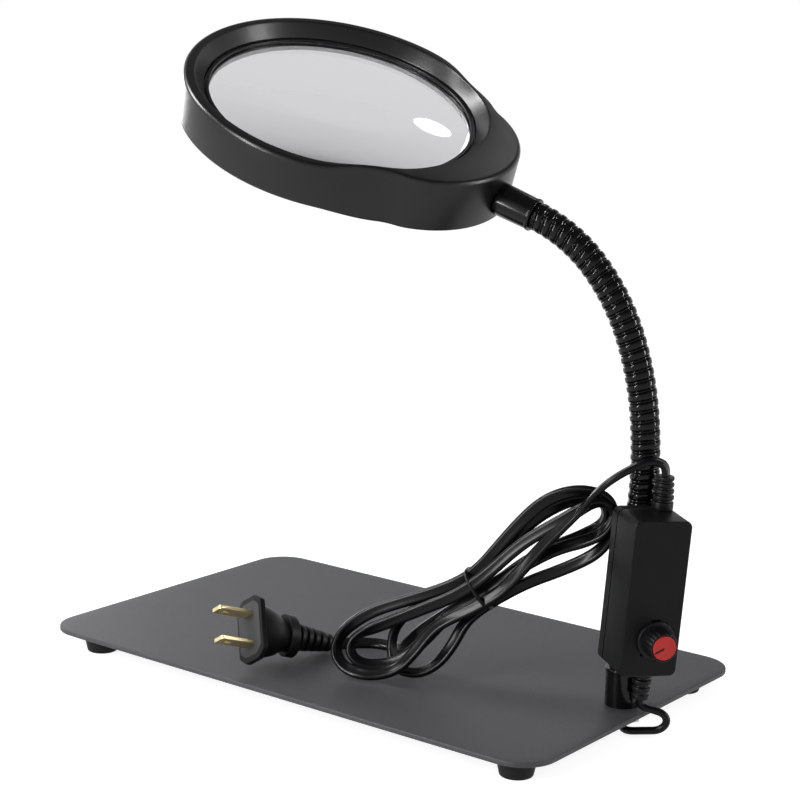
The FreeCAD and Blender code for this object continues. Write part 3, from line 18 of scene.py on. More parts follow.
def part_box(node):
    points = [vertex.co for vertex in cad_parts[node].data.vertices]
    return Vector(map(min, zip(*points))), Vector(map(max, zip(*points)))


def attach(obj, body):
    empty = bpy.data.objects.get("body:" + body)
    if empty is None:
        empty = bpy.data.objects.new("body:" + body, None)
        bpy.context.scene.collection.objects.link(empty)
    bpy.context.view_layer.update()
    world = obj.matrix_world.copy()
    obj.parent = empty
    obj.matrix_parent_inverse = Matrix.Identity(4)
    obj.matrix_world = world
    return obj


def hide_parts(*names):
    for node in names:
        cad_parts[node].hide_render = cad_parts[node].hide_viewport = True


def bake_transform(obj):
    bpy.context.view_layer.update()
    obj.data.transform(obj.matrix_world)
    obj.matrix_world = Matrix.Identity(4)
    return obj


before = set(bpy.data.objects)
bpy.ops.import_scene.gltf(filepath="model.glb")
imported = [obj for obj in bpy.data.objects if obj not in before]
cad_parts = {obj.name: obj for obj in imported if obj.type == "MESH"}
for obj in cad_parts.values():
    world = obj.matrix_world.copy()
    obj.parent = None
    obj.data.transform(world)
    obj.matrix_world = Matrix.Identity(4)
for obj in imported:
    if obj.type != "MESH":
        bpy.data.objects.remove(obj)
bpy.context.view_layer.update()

LOG = logging.getLogger("magnifier_lamp")
MM = 0.001
MERGE, MERGE_COPY = 2e-6, 1e-6
CREASE, CREASE_COPY, CREASE_SOFT = 34.0, 32.0, 60.0
POST_AT, POST_TOP = (113.5, 2.9), 24.0

Points = np.ndarray
Pair = tuple[float, float]
Triple = tuple[float, float, float]
Profile = list[Pair] | tuple[Pair, ...]
Socket = bpy.types.NodeSocket
Value = float | tuple[float, ...] | Socket
Inputs = dict[str | int, Value]


# ============================================================== frames
@dataclass(frozen=True)
class Frame:
    """A right-handed frame: an origin in millimetres and three unit axes as the columns of an array."""

    origin: Points
    axes: Points

    def place(self, points: Points) -> Points:
        """Takes points of this frame, in millimetres, to the lamp's frame, in metres."""
        return (np.asarray(points, float) @ self.axes.T + self.origin) * MM

    def point(self, x: float, y: float, z: float) -> Points:
        """One point of this frame in the lamp's millimetres."""
        return self.axes @ np.array([x, y, z], float) + self.origin

    def moved(self, x: float, y: float, z: float) -> "Frame":
        """The same axes at another point of this frame."""
        return Frame(self.point(x, y, z), self.axes)

    def turned(self, axis: int, degrees: float) -> "Frame":
        """This frame turned about its own X, Y or Z axis (0, 1 or 2) by the right-hand rule."""
        return Frame(self.origin, self.axes @ turn_about(np.eye(3)[axis], degrees))


def turn_about(axis: Points, degrees: float) -> Points:
    """Rotation by an angle a about a unit axis: 1 + sin a K + (1 - cos a) K K, K being its cross product.

    Args:
        axis: the unit axis.
        degrees: the angle, by the right-hand rule.

    Returns:
        Array of 3 by 3.
    """
    angle = math.radians(degrees)
    cross = np.array([[0, -axis[2], axis[1]], [axis[2], 0, -axis[0]], [-axis[1], axis[0], 0]])
    return np.eye(3) + math.sin(angle) * cross + (1 - math.cos(angle)) * cross @ cross


def plate_frame() -> Frame:
    """The plate's frame: its centre on the floor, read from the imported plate."""
    low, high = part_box("base_plate")
    centre = (low + high) / 2 / MM
    return Frame(np.array([centre.x, centre.y, 0.0]), np.eye(3))


# ============================================================== meshes
def linked(name: str, data: bpy.types.ID) -> bpy.types.Object:
    """A new object of the scene that holds this mesh, curve, camera or light."""
    made = bpy.data.objects.new(name, data)
    bpy.context.scene.collection.objects.link(made)
    return made


def clean(mesh: bpy.types.Mesh, crease: float, merge: float = MERGE, turn_out: bool = True) -> None:
    """Merges doubles, which closes seams and poles, and shades smooth between hard edges.

    Args:
        mesh: the mesh to change.
        crease: edges sharper than this many degrees stay sharp.
        merge: points nearer than this many metres become one.
        turn_out: point all faces outwards.
    """
    work = bmesh.new()
    work.from_mesh(mesh)
    bmesh.ops.remove_doubles(work, verts=work.verts, dist=merge)
    if turn_out:
        bmesh.ops.recalc_face_normals(work, faces=work.faces)
    work.to_mesh(mesh)
    work.free()
    mesh.polygons.foreach_set("use_smooth", np.ones(len(mesh.polygons), bool))
    mesh.set_sharp_from_angle(angle=math.radians(crease))


def close_open_ends(piece: bpy.types.Object) -> None:
    """Fills any open loop of edges, such as the two ends of an arc-shaped wall.

    Args:
        piece: the mesh object to change.
    """
    work = bmesh.new()
    work.from_mesh(piece.data)
    bmesh.ops.holes_fill(work, edges=[edge for edge in work.edges if edge.is_boundary], sides=0)
    bmesh.ops.recalc_face_normals(work, faces=work.faces)
    work.to_mesh(piece.data)
    work.free()


def settle(piece: bpy.types.Object, body: str, slot: str, *nodes: str) -> bpy.types.Object:
    """Parents a finished piece to its body and hides the CAD nodes that it stands for.

    Args:
        piece: the finished object.
        body: the body it rides on.
        slot: not used.
        nodes: the CAD nodes it stands for, if any.

    Returns:
        The piece.
    """
    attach(piece, body)
    if nodes:
        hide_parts(*nodes)
    LOG.info("%s rides on %s", piece.name, body)
    return piece


class Shell:
    """Collects grids of points and makes one closed, smooth mesh object of them."""

    def __init__(self) -> None:
        """Starts with no points and no faces."""
        self.points: list[Points] = []
        self.faces: list[Points] = []
        self.count = 0

    def grid(self, points: Points, wrap_rows: bool = False, wrap_columns: bool = True) -> "Shell":
        """Adds a grid of points, joined by quads.

        Args:
            points: array of rows by columns by 3.
            wrap_rows: join the last row to the first.
            wrap_columns: join the last column to the first.

        Returns:
            The shell itself, so that calls can be chained.
        """
        rows, columns = points.shape[:2]
        index = np.arange(rows * columns).reshape(rows, columns) + self.count
        if wrap_rows:
            index = np.vstack([index, index[:1]])
        if wrap_columns:
            index = np.hstack([index, index[:, :1]])
        quads = np.stack([index[:-1, :-1], index[1:, :-1], index[1:, 1:], index[:-1, 1:]], axis=-1)
        self.points.append(points.reshape(-1, 3))
        self.faces.append(quads.reshape(-1, 4))
        self.count += rows * columns
        return self

    def capped(self, points: Points) -> "Shell":
        """Adds a grid whose first and last rows are closed to their middles."""
        first, last = (np.repeat(row.mean(axis=1, keepdims=True), points.shape[1], axis=1)
                       for row in (points[:1], points[-1:]))
        return self.grid(np.concatenate([first, points, last]))

    def build(self, name: str, place: Frame | None, finish: "Finish",
              crease: float = CREASE) -> bpy.types.Object:
        """Makes the mesh object, at the origin, with its place in its mesh.

        Args:
            name: the piece's name.
            place: frame that the points are in, or None when they are metres in the lamp's frame.
            finish: its finish.
            crease: edges sharper than this many degrees stay sharp.

        Returns:
            The new object.
        """
        points = np.concatenate(self.points)
        points = points if place is None else place.place(points)
        mesh = bpy.data.meshes.new(name)
        mesh.from_pydata(points, [], np.concatenate(self.faces).tolist())
        mesh.materials.append(finish.material())
        clean(mesh, crease)
        return linked(name, mesh)

    def piece(self, name: str, place: Frame | None, finish: "Finish", body: str, *nodes: str,
              crease: float = CREASE) -> bpy.types.Object:
        """Makes the mesh object and settles it on its body, for the CAD nodes that it stands for."""
        return settle(self.build(name, place, finish, crease), body, finish.slot, *nodes)


def full_turn(steps: int) -> Points:
    """Equal angles all the way round, in radians."""
    return np.linspace(0, 2 * np.pi, steps, endpoint=False)


def polar(radius: float | Points, angle: Points, height: float | Points) -> Points:
    """Points about Z: x is the radius by the cosine of the angle, y by its sine, and z the height."""
    return np.stack(np.broadcast_arrays(radius * np.cos(angle), radius * np.sin(angle), height), axis=-1)


def circle(radius: float | Points, height: float | Points, steps: int = 64) -> Points:
    """Rings of equally spaced points about Z, one for each radius and height."""
    radius, height = (np.atleast_1d(value).astype(float)[:, None] for value in (radius, height))
    return polar(radius, full_turn(steps), height)


def smooth_step(part: Points) -> Points:
    """Rises from 0 to 1 with level ends: 3 p squared less 2 p cubed, p held between 0 and 1."""
    part = np.clip(part, 0, 1)
    return part ** 2 * (3 - 2 * part)


def softened(corners: Profile, radius: float, steps: int = 4, closed: bool = False) -> Points:
    """Rounds the corners of a profile: each becomes a short quadratic curve between its two sides.

    Args:
        corners: the profile's corners in order.
        radius: how far each curve reaches along its sides, at most 0.45 of a side.
        steps: points along each curve, less one.
        closed: whether the last corner joins the first.

    Returns:
        The rounded profile's points as an array of pairs.
    """
    corner = np.array(corners, float)
    ends = []
    for turn in (1, -1):
        side = np.roll(corner, turn, axis=0) - corner
        length = np.linalg.norm(side, axis=1, keepdims=True)
        end = corner + side / length * np.minimum(radius, 0.45 * length)
        if not closed:
            end[[0, -1]] = corner[[0, -1]]
        ends.append(end[:, None])
    t = np.linspace(0, 1, steps + 1)[None, :, None]
    curve = (1 - t) ** 2 * ends[0] + 2 * t * (1 - t) * corner[:, None] + t ** 2 * ends[1]
    return curve.reshape(-1, 2)


def lathe(corners: Profile, radius: float = 0.0, steps: int = 64, closed: bool = False) -> Shell:
    """A turned piece: a profile of (radius, height) corners, softened, carried round Z.

    Args:
        corners: the profile's corners; an open profile starts and ends on the axis.
        radius: reach of the softening at each corner.
        steps: points round the axis.
        closed: whether the profile is a loop, as for a ring.

    Returns:
        A shell with the one grid.
    """
    profile = softened(corners, radius, closed=closed) if radius else np.array(corners, float)
    return Shell().grid(circle(profile[:, 0], profile[:, 1], steps), wrap_rows=closed)


def at_depth(outline: Points, depth: float | Points) -> Points:
    """An outline in X and Y lifted to a height, or to one height per point."""
    heights = np.broadcast_to(np.asarray(depth, float), outline.shape[:1])
    return np.concatenate([outline, heights[:, None]], axis=1)


def ring_towards(outline: Points, centre: Pair, radius: float) -> Points:
    """Points on a circle, each in the direction of the outline's point as seen from the circle's centre."""
    offset = outline - np.array(centre)
    return np.array(centre) + offset / np.linalg.norm(offset, axis=1, keepdims=True) * radius


@dataclass(frozen=True)
class RoundedBox:
    """Outline of a rectangle with round corners, as parallel curves at any inset."""

    width: float
    height: float
    corner: float
    steps: int = 10
    smallest: float = 0.02

    def outline(self, inset: float) -> Points:
        """The outline moved inwards: straight sides between quarter circles of a smaller radius.

        Args:
            inset: how far it is moved.

        Returns:
            Points counter-clockwise from the right side.
        """
        radius = max(self.corner - inset, self.smallest)
        half = np.array([self.width / 2 - inset - radius, self.height / 2 - inset - radius])
        quarter = polar(radius, np.linspace(0, np.pi / 2, self.steps), 0.0)[:, :2]
        signs = np.array([[1, 1], [-1, 1], [-1, -1], [1, -1]], float)
        arcs = [quarter * sign + half * sign for sign in signs]
        arcs[1], arcs[3] = arcs[1][::-1], arcs[3][::-1]
        return np.concatenate(arcs)

    def rows(self, section: Points) -> list[Points]:
        """One outline for each (inset, height) of a section."""
        return [at_depth(self.outline(inset), height) for inset, height in section]


# ============================================================== finishes
class Grain(Enum):
    """How fine a finish's relief is, as noise cells per metre."""

    POWDER = 2600.0
    MOULDED = 5200.0
    SHEATH = 1400.0
    TURNED = 900.0
    POLISHED = 300.0


class Wiring:
    """Adds nodes to a material or a world: an input given as a socket is linked, any other value is set."""

    def __init__(self, owner: bpy.types.Material | bpy.types.World) -> None:
        """Turns the owner's nodes on."""
        owner.use_nodes = True
        self.nodes, self.links = owner.node_tree.nodes, owner.node_tree.links

    def fill(self, node: bpy.types.Node, inputs: Inputs) -> bpy.types.Node:
        """Sets or links a node's inputs.

        Args:
            node: the node.
            inputs: values or sockets by the input's name or number.

        Returns:
            The node.
        """
        for key, value in inputs.items():
            if isinstance(value, Socket):
                self.links.new(value, node.inputs[key])
            else:
                node.inputs[key].default_value = value
        return node

    def add(self, kind: str, inputs: Inputs, **settings: str) -> bpy.types.Node:
        """Makes a node.

        Args:
            kind: its type, without the part that all shader nodes share.
            inputs: values or sockets by the input's name or number.
            settings: the node's own properties, set before its inputs.

        Returns:
            The new node.
        """
        node = self.nodes.new("ShaderNode" + kind)
        for name, value in settings.items():
            setattr(node, name, value)
        return self.fill(node, inputs)

    def ramp(self, value: Socket, source: Pair, target: tuple[Value, Value]) -> Socket:
        """Takes a value from one span to another along a straight line that stops at both ends."""
        names = ("From Min", "From Max", "To Min", "To Max")
        spans = dict(zip(names, (*source, *target)))
        return self.add("MapRange", {"Value": value, **spans}).outputs["Result"]

    def mixed(self, share: Socket, first: Value, second: Value) -> Socket:
        """A colour between two others."""
        return self.add("Mix", {"Factor": share, "A": first, "B": second}, data_type="RGBA").outputs["Result"]

    def larger(self, first: Socket, second: Socket) -> Socket:
        """The larger of two values."""
        return self.add("Math", {0: first, 1: second}, operation="MAXIMUM").outputs[0]

    def seen_directly(self) -> tuple[Socket, Socket]:
        """Tells rays apart.

        Returns:
            A socket that is one where a ray comes from the camera, a mirror-like reflection or through glass,
            and zero elsewhere, and the socket for the camera's rays alone.
        """
        path = self.add("LightPath", {}).outputs
        through = self.larger(path["Is Camera Ray"], path["Is Transmission Ray"])
        return self.larger(through, path["Is Glossy Ray"]), path["Is Camera Ray"]


@dataclass(frozen=True)
class Finish:
    """One procedural finish: base colour with cloudy variation, roughness with its own spread, and relief."""

    name: str
    slot: str
    colour: Triple
    tint: Triple
    roughness: float
    spread: float = 0.05
    grain: Grain = Grain.MOULDED
    relief: float = 0.0
    metallic: float = 0.0
    specular: float = 0.5
    transmission: float = 0.0
    speck: float = 0.0
    # share of painted highlight: convex edges paled towards a grey under any lamp
    painted_edge_highlight: float = 0.0
    ior: float = 1.5
    cloud_scale: float = 0.03
    bump_reach: float = 0.0003
    speck_span: Pair = (0.52, 0.72)
    speck_grey: Triple = (0.32, 0.33, 0.34)
    painted_edge_highlight_span: Pair = (0.53, 0.62)
    painted_edge_highlight_grey: Triple = (0.2, 0.2, 0.21)

    def material(self) -> bpy.types.Material:
        """The finish as a Blender material, made once and then shared."""
        known = bpy.data.materials.get(self.name)
        return known if known else self.make()

    def make(self) -> bpy.types.Material:
        """Builds the nodes: cloudy noise mixes the colours and spreads the roughness, fine noise is relief.

        Specks lighten the tops of the fine grain, as on a powder coat; convex edges are paled a little
        towards a grey, a painted highlight along them.

        Returns:
            The new material.
        """
        material = bpy.data.materials.new(self.name)
        wires = Wiring(material)
        place = wires.add("TexCoord", {}).outputs["Object"]
        scale = self.grain.value
        noises = (wires.add("TexNoise", {"Vector": place, "Scale": cells, "Detail": detail})
                  for cells, detail in ((scale * self.cloud_scale, 4.0), (scale, 3.0)))
        cloud, fine = (noise.outputs["Fac"] for noise in noises)
        colour = wires.mixed(cloud, (*self.colour, 1), (*self.tint, 1))
        if self.speck:
            tops = wires.ramp(fine, self.speck_span, (0.0, self.speck))
            colour = wires.mixed(tops, colour, (*self.speck_grey, 1))
        # painted highlight: convex edges are paled towards a grey, whatever the light
        if self.painted_edge_highlight:
            convex = wires.add("NewGeometry", {}).outputs["Pointiness"]
            edges = wires.ramp(convex, self.painted_edge_highlight_span, (0.0, self.painted_edge_highlight))
            colour = wires.mixed(edges, colour, (*self.painted_edge_highlight_grey, 1))
        span = (max(self.roughness - self.spread, 0.0), min(self.roughness + self.spread, 1.0))
        shader = wires.fill(wires.nodes["Principled BSDF"], {
            "Base Color": colour, "Roughness": wires.ramp(cloud, (0.0, 1.0), span), "Metallic": self.metallic,
            "Specular IOR Level": self.specular, "Transmission Weight": self.transmission, "IOR": self.ior})
        if self.relief:
            bump = wires.add("Bump", {"Strength": self.relief, "Distance": self.bump_reach, "Height": fine})
            wires.fill(shader, {"Normal": bump.outputs["Normal"]})
        return material


PLATE_PAINT = Finish("plate_powder_coat", "plate_paint", (0.040, 0.041, 0.045), (0.054, 0.055, 0.060), 0.50,
                     grain=Grain.POWDER, relief=0.55, speck=0.10, specular=0.26)
FERRULE_BLACK = Finish("ferrule_gloss_black", "black_metal", (0.0022, 0.0022, 0.0025), (0.004, 0.004, 0.0045),
                       0.15, 0.03, Grain.TURNED, relief=0.02, specular=0.19)
NECK_BLACK = Finish("gooseneck_black", "neck_black", (0.0020, 0.0020, 0.0024), (0.004, 0.004, 0.0045), 0.11,
                    0.02, Grain.TURNED, relief=0.02, specular=0.17)
ZINC = Finish("bright_zinc", "steel", (0.55, 0.55, 0.56), (0.65, 0.65, 0.66), 0.3, 0.08, Grain.TURNED,
              relief=0.05, metallic=1.0)
FOOT_RUBBER = Finish("foot_rubber", "rubber_black", (0.005, 0.005, 0.006), (0.009, 0.009, 0.010), 0.62, 0.08,
                     relief=0.15, specular=0.14)
# the case and the head carry a small painted highlight on their convex edges
CASE_PLASTIC = Finish("case_moulded_plastic", "case_plastic", (0.003, 0.0035, 0.0035),
                      (0.005, 0.0055, 0.0055), 0.42, 0.04, relief=0.16, painted_edge_highlight=0.05, specular=0.10)
HEAD_PLASTIC = Finish("head_satin_plastic", "head_plastic", (0.0035, 0.0035, 0.0042),
                      (0.0055, 0.0055, 0.0062), 0.30, 0.04, relief=0.06, painted_edge_highlight=0.05, specular=0.30)
KNOB_PLASTIC = Finish("knob_black_plastic", "knob_plastic", (0.004, 0.004, 0.005), (0.007, 0.007, 0.008),
                      0.36, relief=0.05, specular=0.12)
CAP_CORAL = Finish("cap_coral_plastic", "cap_coral", (0.45, 0.020, 0.016), (0.52, 0.030, 0.026), 0.42,
                   relief=0.06, specular=0.25)
LENS_GLASS = Finish("lens_clear_glass", "lens_glass", (0.76, 0.755, 0.775), (0.77, 0.765, 0.785), 0.0, 0.0,
                    Grain.POLISHED, transmission=1.0)
MILKY = Finish("diffuser_milky", "diffuser_milky", (0.80, 0.79, 0.75), (0.86, 0.85, 0.81), 0.4, 0.04,
               transmission=0.25)
BOARD_GREEN = Finish("board_solder_mask", "board_green", (0.02, 0.09, 0.04), (0.03, 0.12, 0.06), 0.3,
                     grain=Grain.POWDER, relief=0.05)
PARTS_GREY = Finish("parts_grey", "parts_grey", (0.05, 0.05, 0.055), (0.08, 0.08, 0.085), 0.45, 0.08,
                    relief=0.08)
PHOSPHOR = Finish("led_phosphor", "led_yellow", (0.85, 0.70, 0.18), (0.90, 0.78, 0.30), 0.35)
SHEATH = Finish("cord_sheath", "cord_black", (0.003, 0.003, 0.0035), (0.006, 0.006, 0.007), 0.25,
                grain=Grain.SHEATH, relief=0.04, specular=0.12)
RELIEF_RUBBER = Finish("relief_sheath", "cord_black", (0.003, 0.003, 0.0035), (0.006, 0.006, 0.007), 0.38,
                       0.06, Grain.SHEATH, relief=0.10, specular=0.14)
PLUG_BLACK = Finish("plug_moulded", "plug_plastic", (0.005, 0.005, 0.0055), (0.008, 0.008, 0.009), 0.38,
                    relief=0.14, specular=0.15)
PLUG_FACE = Finish("plug_face_pressed", "plug_plastic", (0.030, 0.031, 0.033), (0.042, 0.043, 0.045), 0.50,
                   relief=0.12, specular=0.25)
BLADE_BRASS = Finish("blade_brass", "blade_brass", (0.60, 0.50, 0.30), (0.68, 0.60, 0.42), 0.24, 0.06,
                     Grain.TURNED, relief=0.04, metallic=1.0)
TIE_WIRE = Finish("tie_wire", "cord_black", (0.004, 0.004, 0.004), (0.008, 0.008, 0.008), 0.45,
                  grain=Grain.SHEATH, relief=0.05, specular=0.15)


def smooth_copies(body: str, finish: Finish, *nodes: str) -> None:
    """Merged, smooth-shaded copies of CAD nodes that stand for them.

    Args:
        body: the body they ride on.
        finish: their finish.
        nodes: the CAD nodes' names.
    """
    for node in nodes:
        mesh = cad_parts[node].data.copy()
        mesh.materials.clear()
        mesh.materials.append(finish.material())
        clean(mesh, CREASE_COPY, MERGE_COPY, turn_out=False)
        settle(linked(node + "_dressed", mesh), body, finish.slot, node)


# ============================================================== base
@dataclass
class Base:
    """The powder-coated plate, its rubber feet and the post with its washer and nut."""

    place: Frame
    length: float = 250.0
    width: float = 153.0
    corner: float = 15.0
    bottom: float = 7.0
    top: float = 9.0
    edge: float = 0.5
    rim: float = 6.0
    hole: float = 5.2
    foot_insets: tuple[float, float, float, float] = (23.0, 14.0, 11.5, 20.5)
    foot_profile: Profile = ((0, 0), (6.25, 0), (7.75, 7.0), (0, 7.0))
    foot_edge: float = 0.7
    post_profile: Profile = ((3.2, 3.4), (5.0, 3.4), (5.0, 9.0), (6.7, 9.0), (6.7, 22.6), (6.95, 22.7),
                             (6.95, POST_TOP), (5.4, POST_TOP), (5.4, 16.0), (3.2, 16.0))
    post_edge: float = 0.35

    def plate(self) -> None:
        """The plate: parallel outlines from the hole out over the softened edge and back below."""
        box = RoundedBox(self.length, self.width, self.corner, 14)
        section = softened([(self.rim, self.bottom), (0, self.bottom), (0, self.top), (self.rim, self.top)],
                           self.edge)
        hole = ring_towards(box.outline(self.rim), POST_AT, self.hole)
        rows = [at_depth(hole, self.bottom), *box.rows(section), at_depth(hole, self.top)]
        shell = Shell().grid(np.array(rows), wrap_rows=True)
        shell.piece("plate_steel", self.place, PLATE_PAINT, "base", "base_plate")

    def feet(self) -> None:
        """Four tapered feet, turned from one profile."""
        left, right, front, back = self.foot_insets
        profile = softened(self.foot_profile, self.foot_edge)
        ring = circle(profile[:, 0], profile[:, 1], 56)
        shell = Shell()
        for x in (-self.length / 2 + left, self.length / 2 - right):
            for y in (-self.width / 2 + front, self.width / 2 - back):
                shell.grid(ring + np.array([x, y, 0.0]))
        shell.piece("foot_set", self.place, FOOT_RUBBER, "base", "rubber_feet")

    def build(self) -> None:
        """Makes every piece of the base; the post is a socket above the plate and a hollow tail below it."""
        self.plate()
        self.feet()
        post = lathe(self.post_profile, self.post_edge, 72, closed=True)
        post.piece("post_turned", self.place.moved(*POST_AT, 0.0), FERRULE_BLACK, "base", "lower_ferrule")
        smooth_copies("base", ZINC, "post_washer", "post_nut")


# ============================================================== gooseneck
@dataclass
class Gooseneck:
    """The banded neck: a leaning stem and four arcs in one upright plane."""

    plate: Frame
    azimuth: float = 12.0
    lean: float = 3.7
    stem: float = 68.1
    section: float = 30.4
    turns: tuple[float, ...] = (10.2, 13.6, 20.8, 28.3)
    turns_of_strip: int = 50
    band_radius: float = 5.68
    ridge_radius: float = 5.45
    groove_radius: float = 5.0
    band_share: float = 0.70
    ridge_span: Pair = (0.755, 0.945)
    first_band: float = 0.6
    plain_end: Pair = (0.2, 0.8)
    tuck: float = 7.5
    joints: tuple[float, ...] = (80.0, 110.0, 140.0, 170.0)
    bend_reach: float = 14.0
    cuts: tuple[float, ...] = (0.0, 95.0, 125.0, 155.0, 189.7)
    bodies: tuple[str, ...] = ("base", "neck_1", "neck_2", "neck_3", "head")
    stands_for: tuple[tuple[str, ...], ...] = (("gooseneck_stem",), ("gooseneck_1",), ("gooseneck_2",),
                                               ("gooseneck_3", "gooseneck_tip"))
    steps_round: int = 56
    steps_turn: int = 18

    @property
    def length(self) -> float:
        """Length from the post's top to the end of the last arc."""
        return self.stem + self.section * len(self.turns)

    def state(self, station: float) -> Triple:
        """Follows the neck: a straight run, then arcs of equal length.

        Args:
            station: how far along the neck.

        Returns:
            Reach in the arm's plane, height and heading in radians.
        """
        heading = -math.radians(self.lean)
        straight = min(station, self.stem)
        across, height = -math.sin(heading) * straight, POST_TOP + math.cos(heading) * straight
        left = station - straight
        for turn in self.turns:
            if left <= 0:
                break
            step = min(left, self.section)
            radius = self.section / math.radians(turn)
            after = heading + step / radius
            across += radius * (math.cos(after) - math.cos(heading))
            height += radius * (math.sin(after) - math.sin(heading))
            heading, left = after, left - step
        return across, height, heading

    def frame_at(self, station: float) -> Frame:
        """The neck's own frame at a station: Z along the neck, Y across the arm's plane.

        Args:
            station: how far along the neck; past its end the frame goes on straight.

        Returns:
            The frame.
        """
        inside = min(station, self.length)
        across, height, heading = self.state(inside)
        arm = self.plate.moved(*POST_AT, 0.0).turned(2, self.azimuth)
        local = arm.moved(across, 0.0, height).turned(1, -math.degrees(heading))
        return local.moved(0.0, 0.0, station - inside)

    def relief(self, stations: Points) -> Points:
        """Radius of the neck's surface: a right-handed helix of a wide band, a narrow ridge and grooves.

        The phase runs once through each turn and falls by one turn round the neck.  In the band's share the
        radius bulges as the root of 1 minus the fourth power of the half width, in the ridge's span as a half
        ellipse, and elsewhere it stays at the groove.

        Args:
            stations: one station per ring.

        Returns:
            Array of rings by columns.
        """
        pitch = (self.length - self.first_band) / self.turns_of_strip
        around = np.linspace(0, 1, self.steps_round, endpoint=False)
        phase = np.mod((stations[:, None] - self.first_band) / pitch - around[None, :], 1.0)
        band = np.sqrt(np.clip(1 - np.abs(2 * phase / self.band_share - 1) ** 4, 0, 1))
        low, high = self.ridge_span
        ridge = np.sqrt(np.clip(1 - (2 * (phase - low) / (high - low) - 1) ** 2, 0, 1))
        rise = np.maximum(band * (phase < self.band_share) * (self.band_radius - self.groove_radius),
                          ridge * (self.ridge_radius - self.groove_radius))
        start, fade = self.plain_end
        ends = np.clip(np.minimum(stations - start, self.length - start - stations) / fade, 0, 1)
        return self.groove_radius + rise * ends[:, None]

    def rings(self, stations: Points) -> Points:
        """Rings of points about the neck's axis, in metres."""
        flat = polar(self.relief(stations), full_turn(self.steps_round), 0.0)
        return np.array([self.frame_at(float(station)).place(ring) for station, ring in zip(stations, flat)])

    def build(self) -> None:
        """Four lengths of neck, one per joint, meeting at shared rings and baked into the lamp's frame."""
        inner = np.linspace(0.0, self.length, self.turns_of_strip * self.steps_turn + 1)
        stations = np.concatenate([[-self.tuck], inner, [self.length + self.tuck]])
        marks = [int(np.abs(stations - cut).argmin()) for cut in self.cuts]
        marks[0], marks[-1] = 0, len(stations) - 1
        for index, joint in enumerate(self.joints):
            shell = Shell().capped(self.rings(stations[marks[index]:marks[index + 1] + 1]))
            piece = shell.build(f"neck_length_{index + 1}", None, NECK_BLACK, CREASE_SOFT)
            start, end = self.frame_at(joint - self.bend_reach), self.frame_at(joint + self.bend_reach)
            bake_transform(piece)
            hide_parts(*self.stands_for[index])
            LOG.info("%s bends from %s to %s", piece.name, self.bodies[index], self.bodies[index + 1])


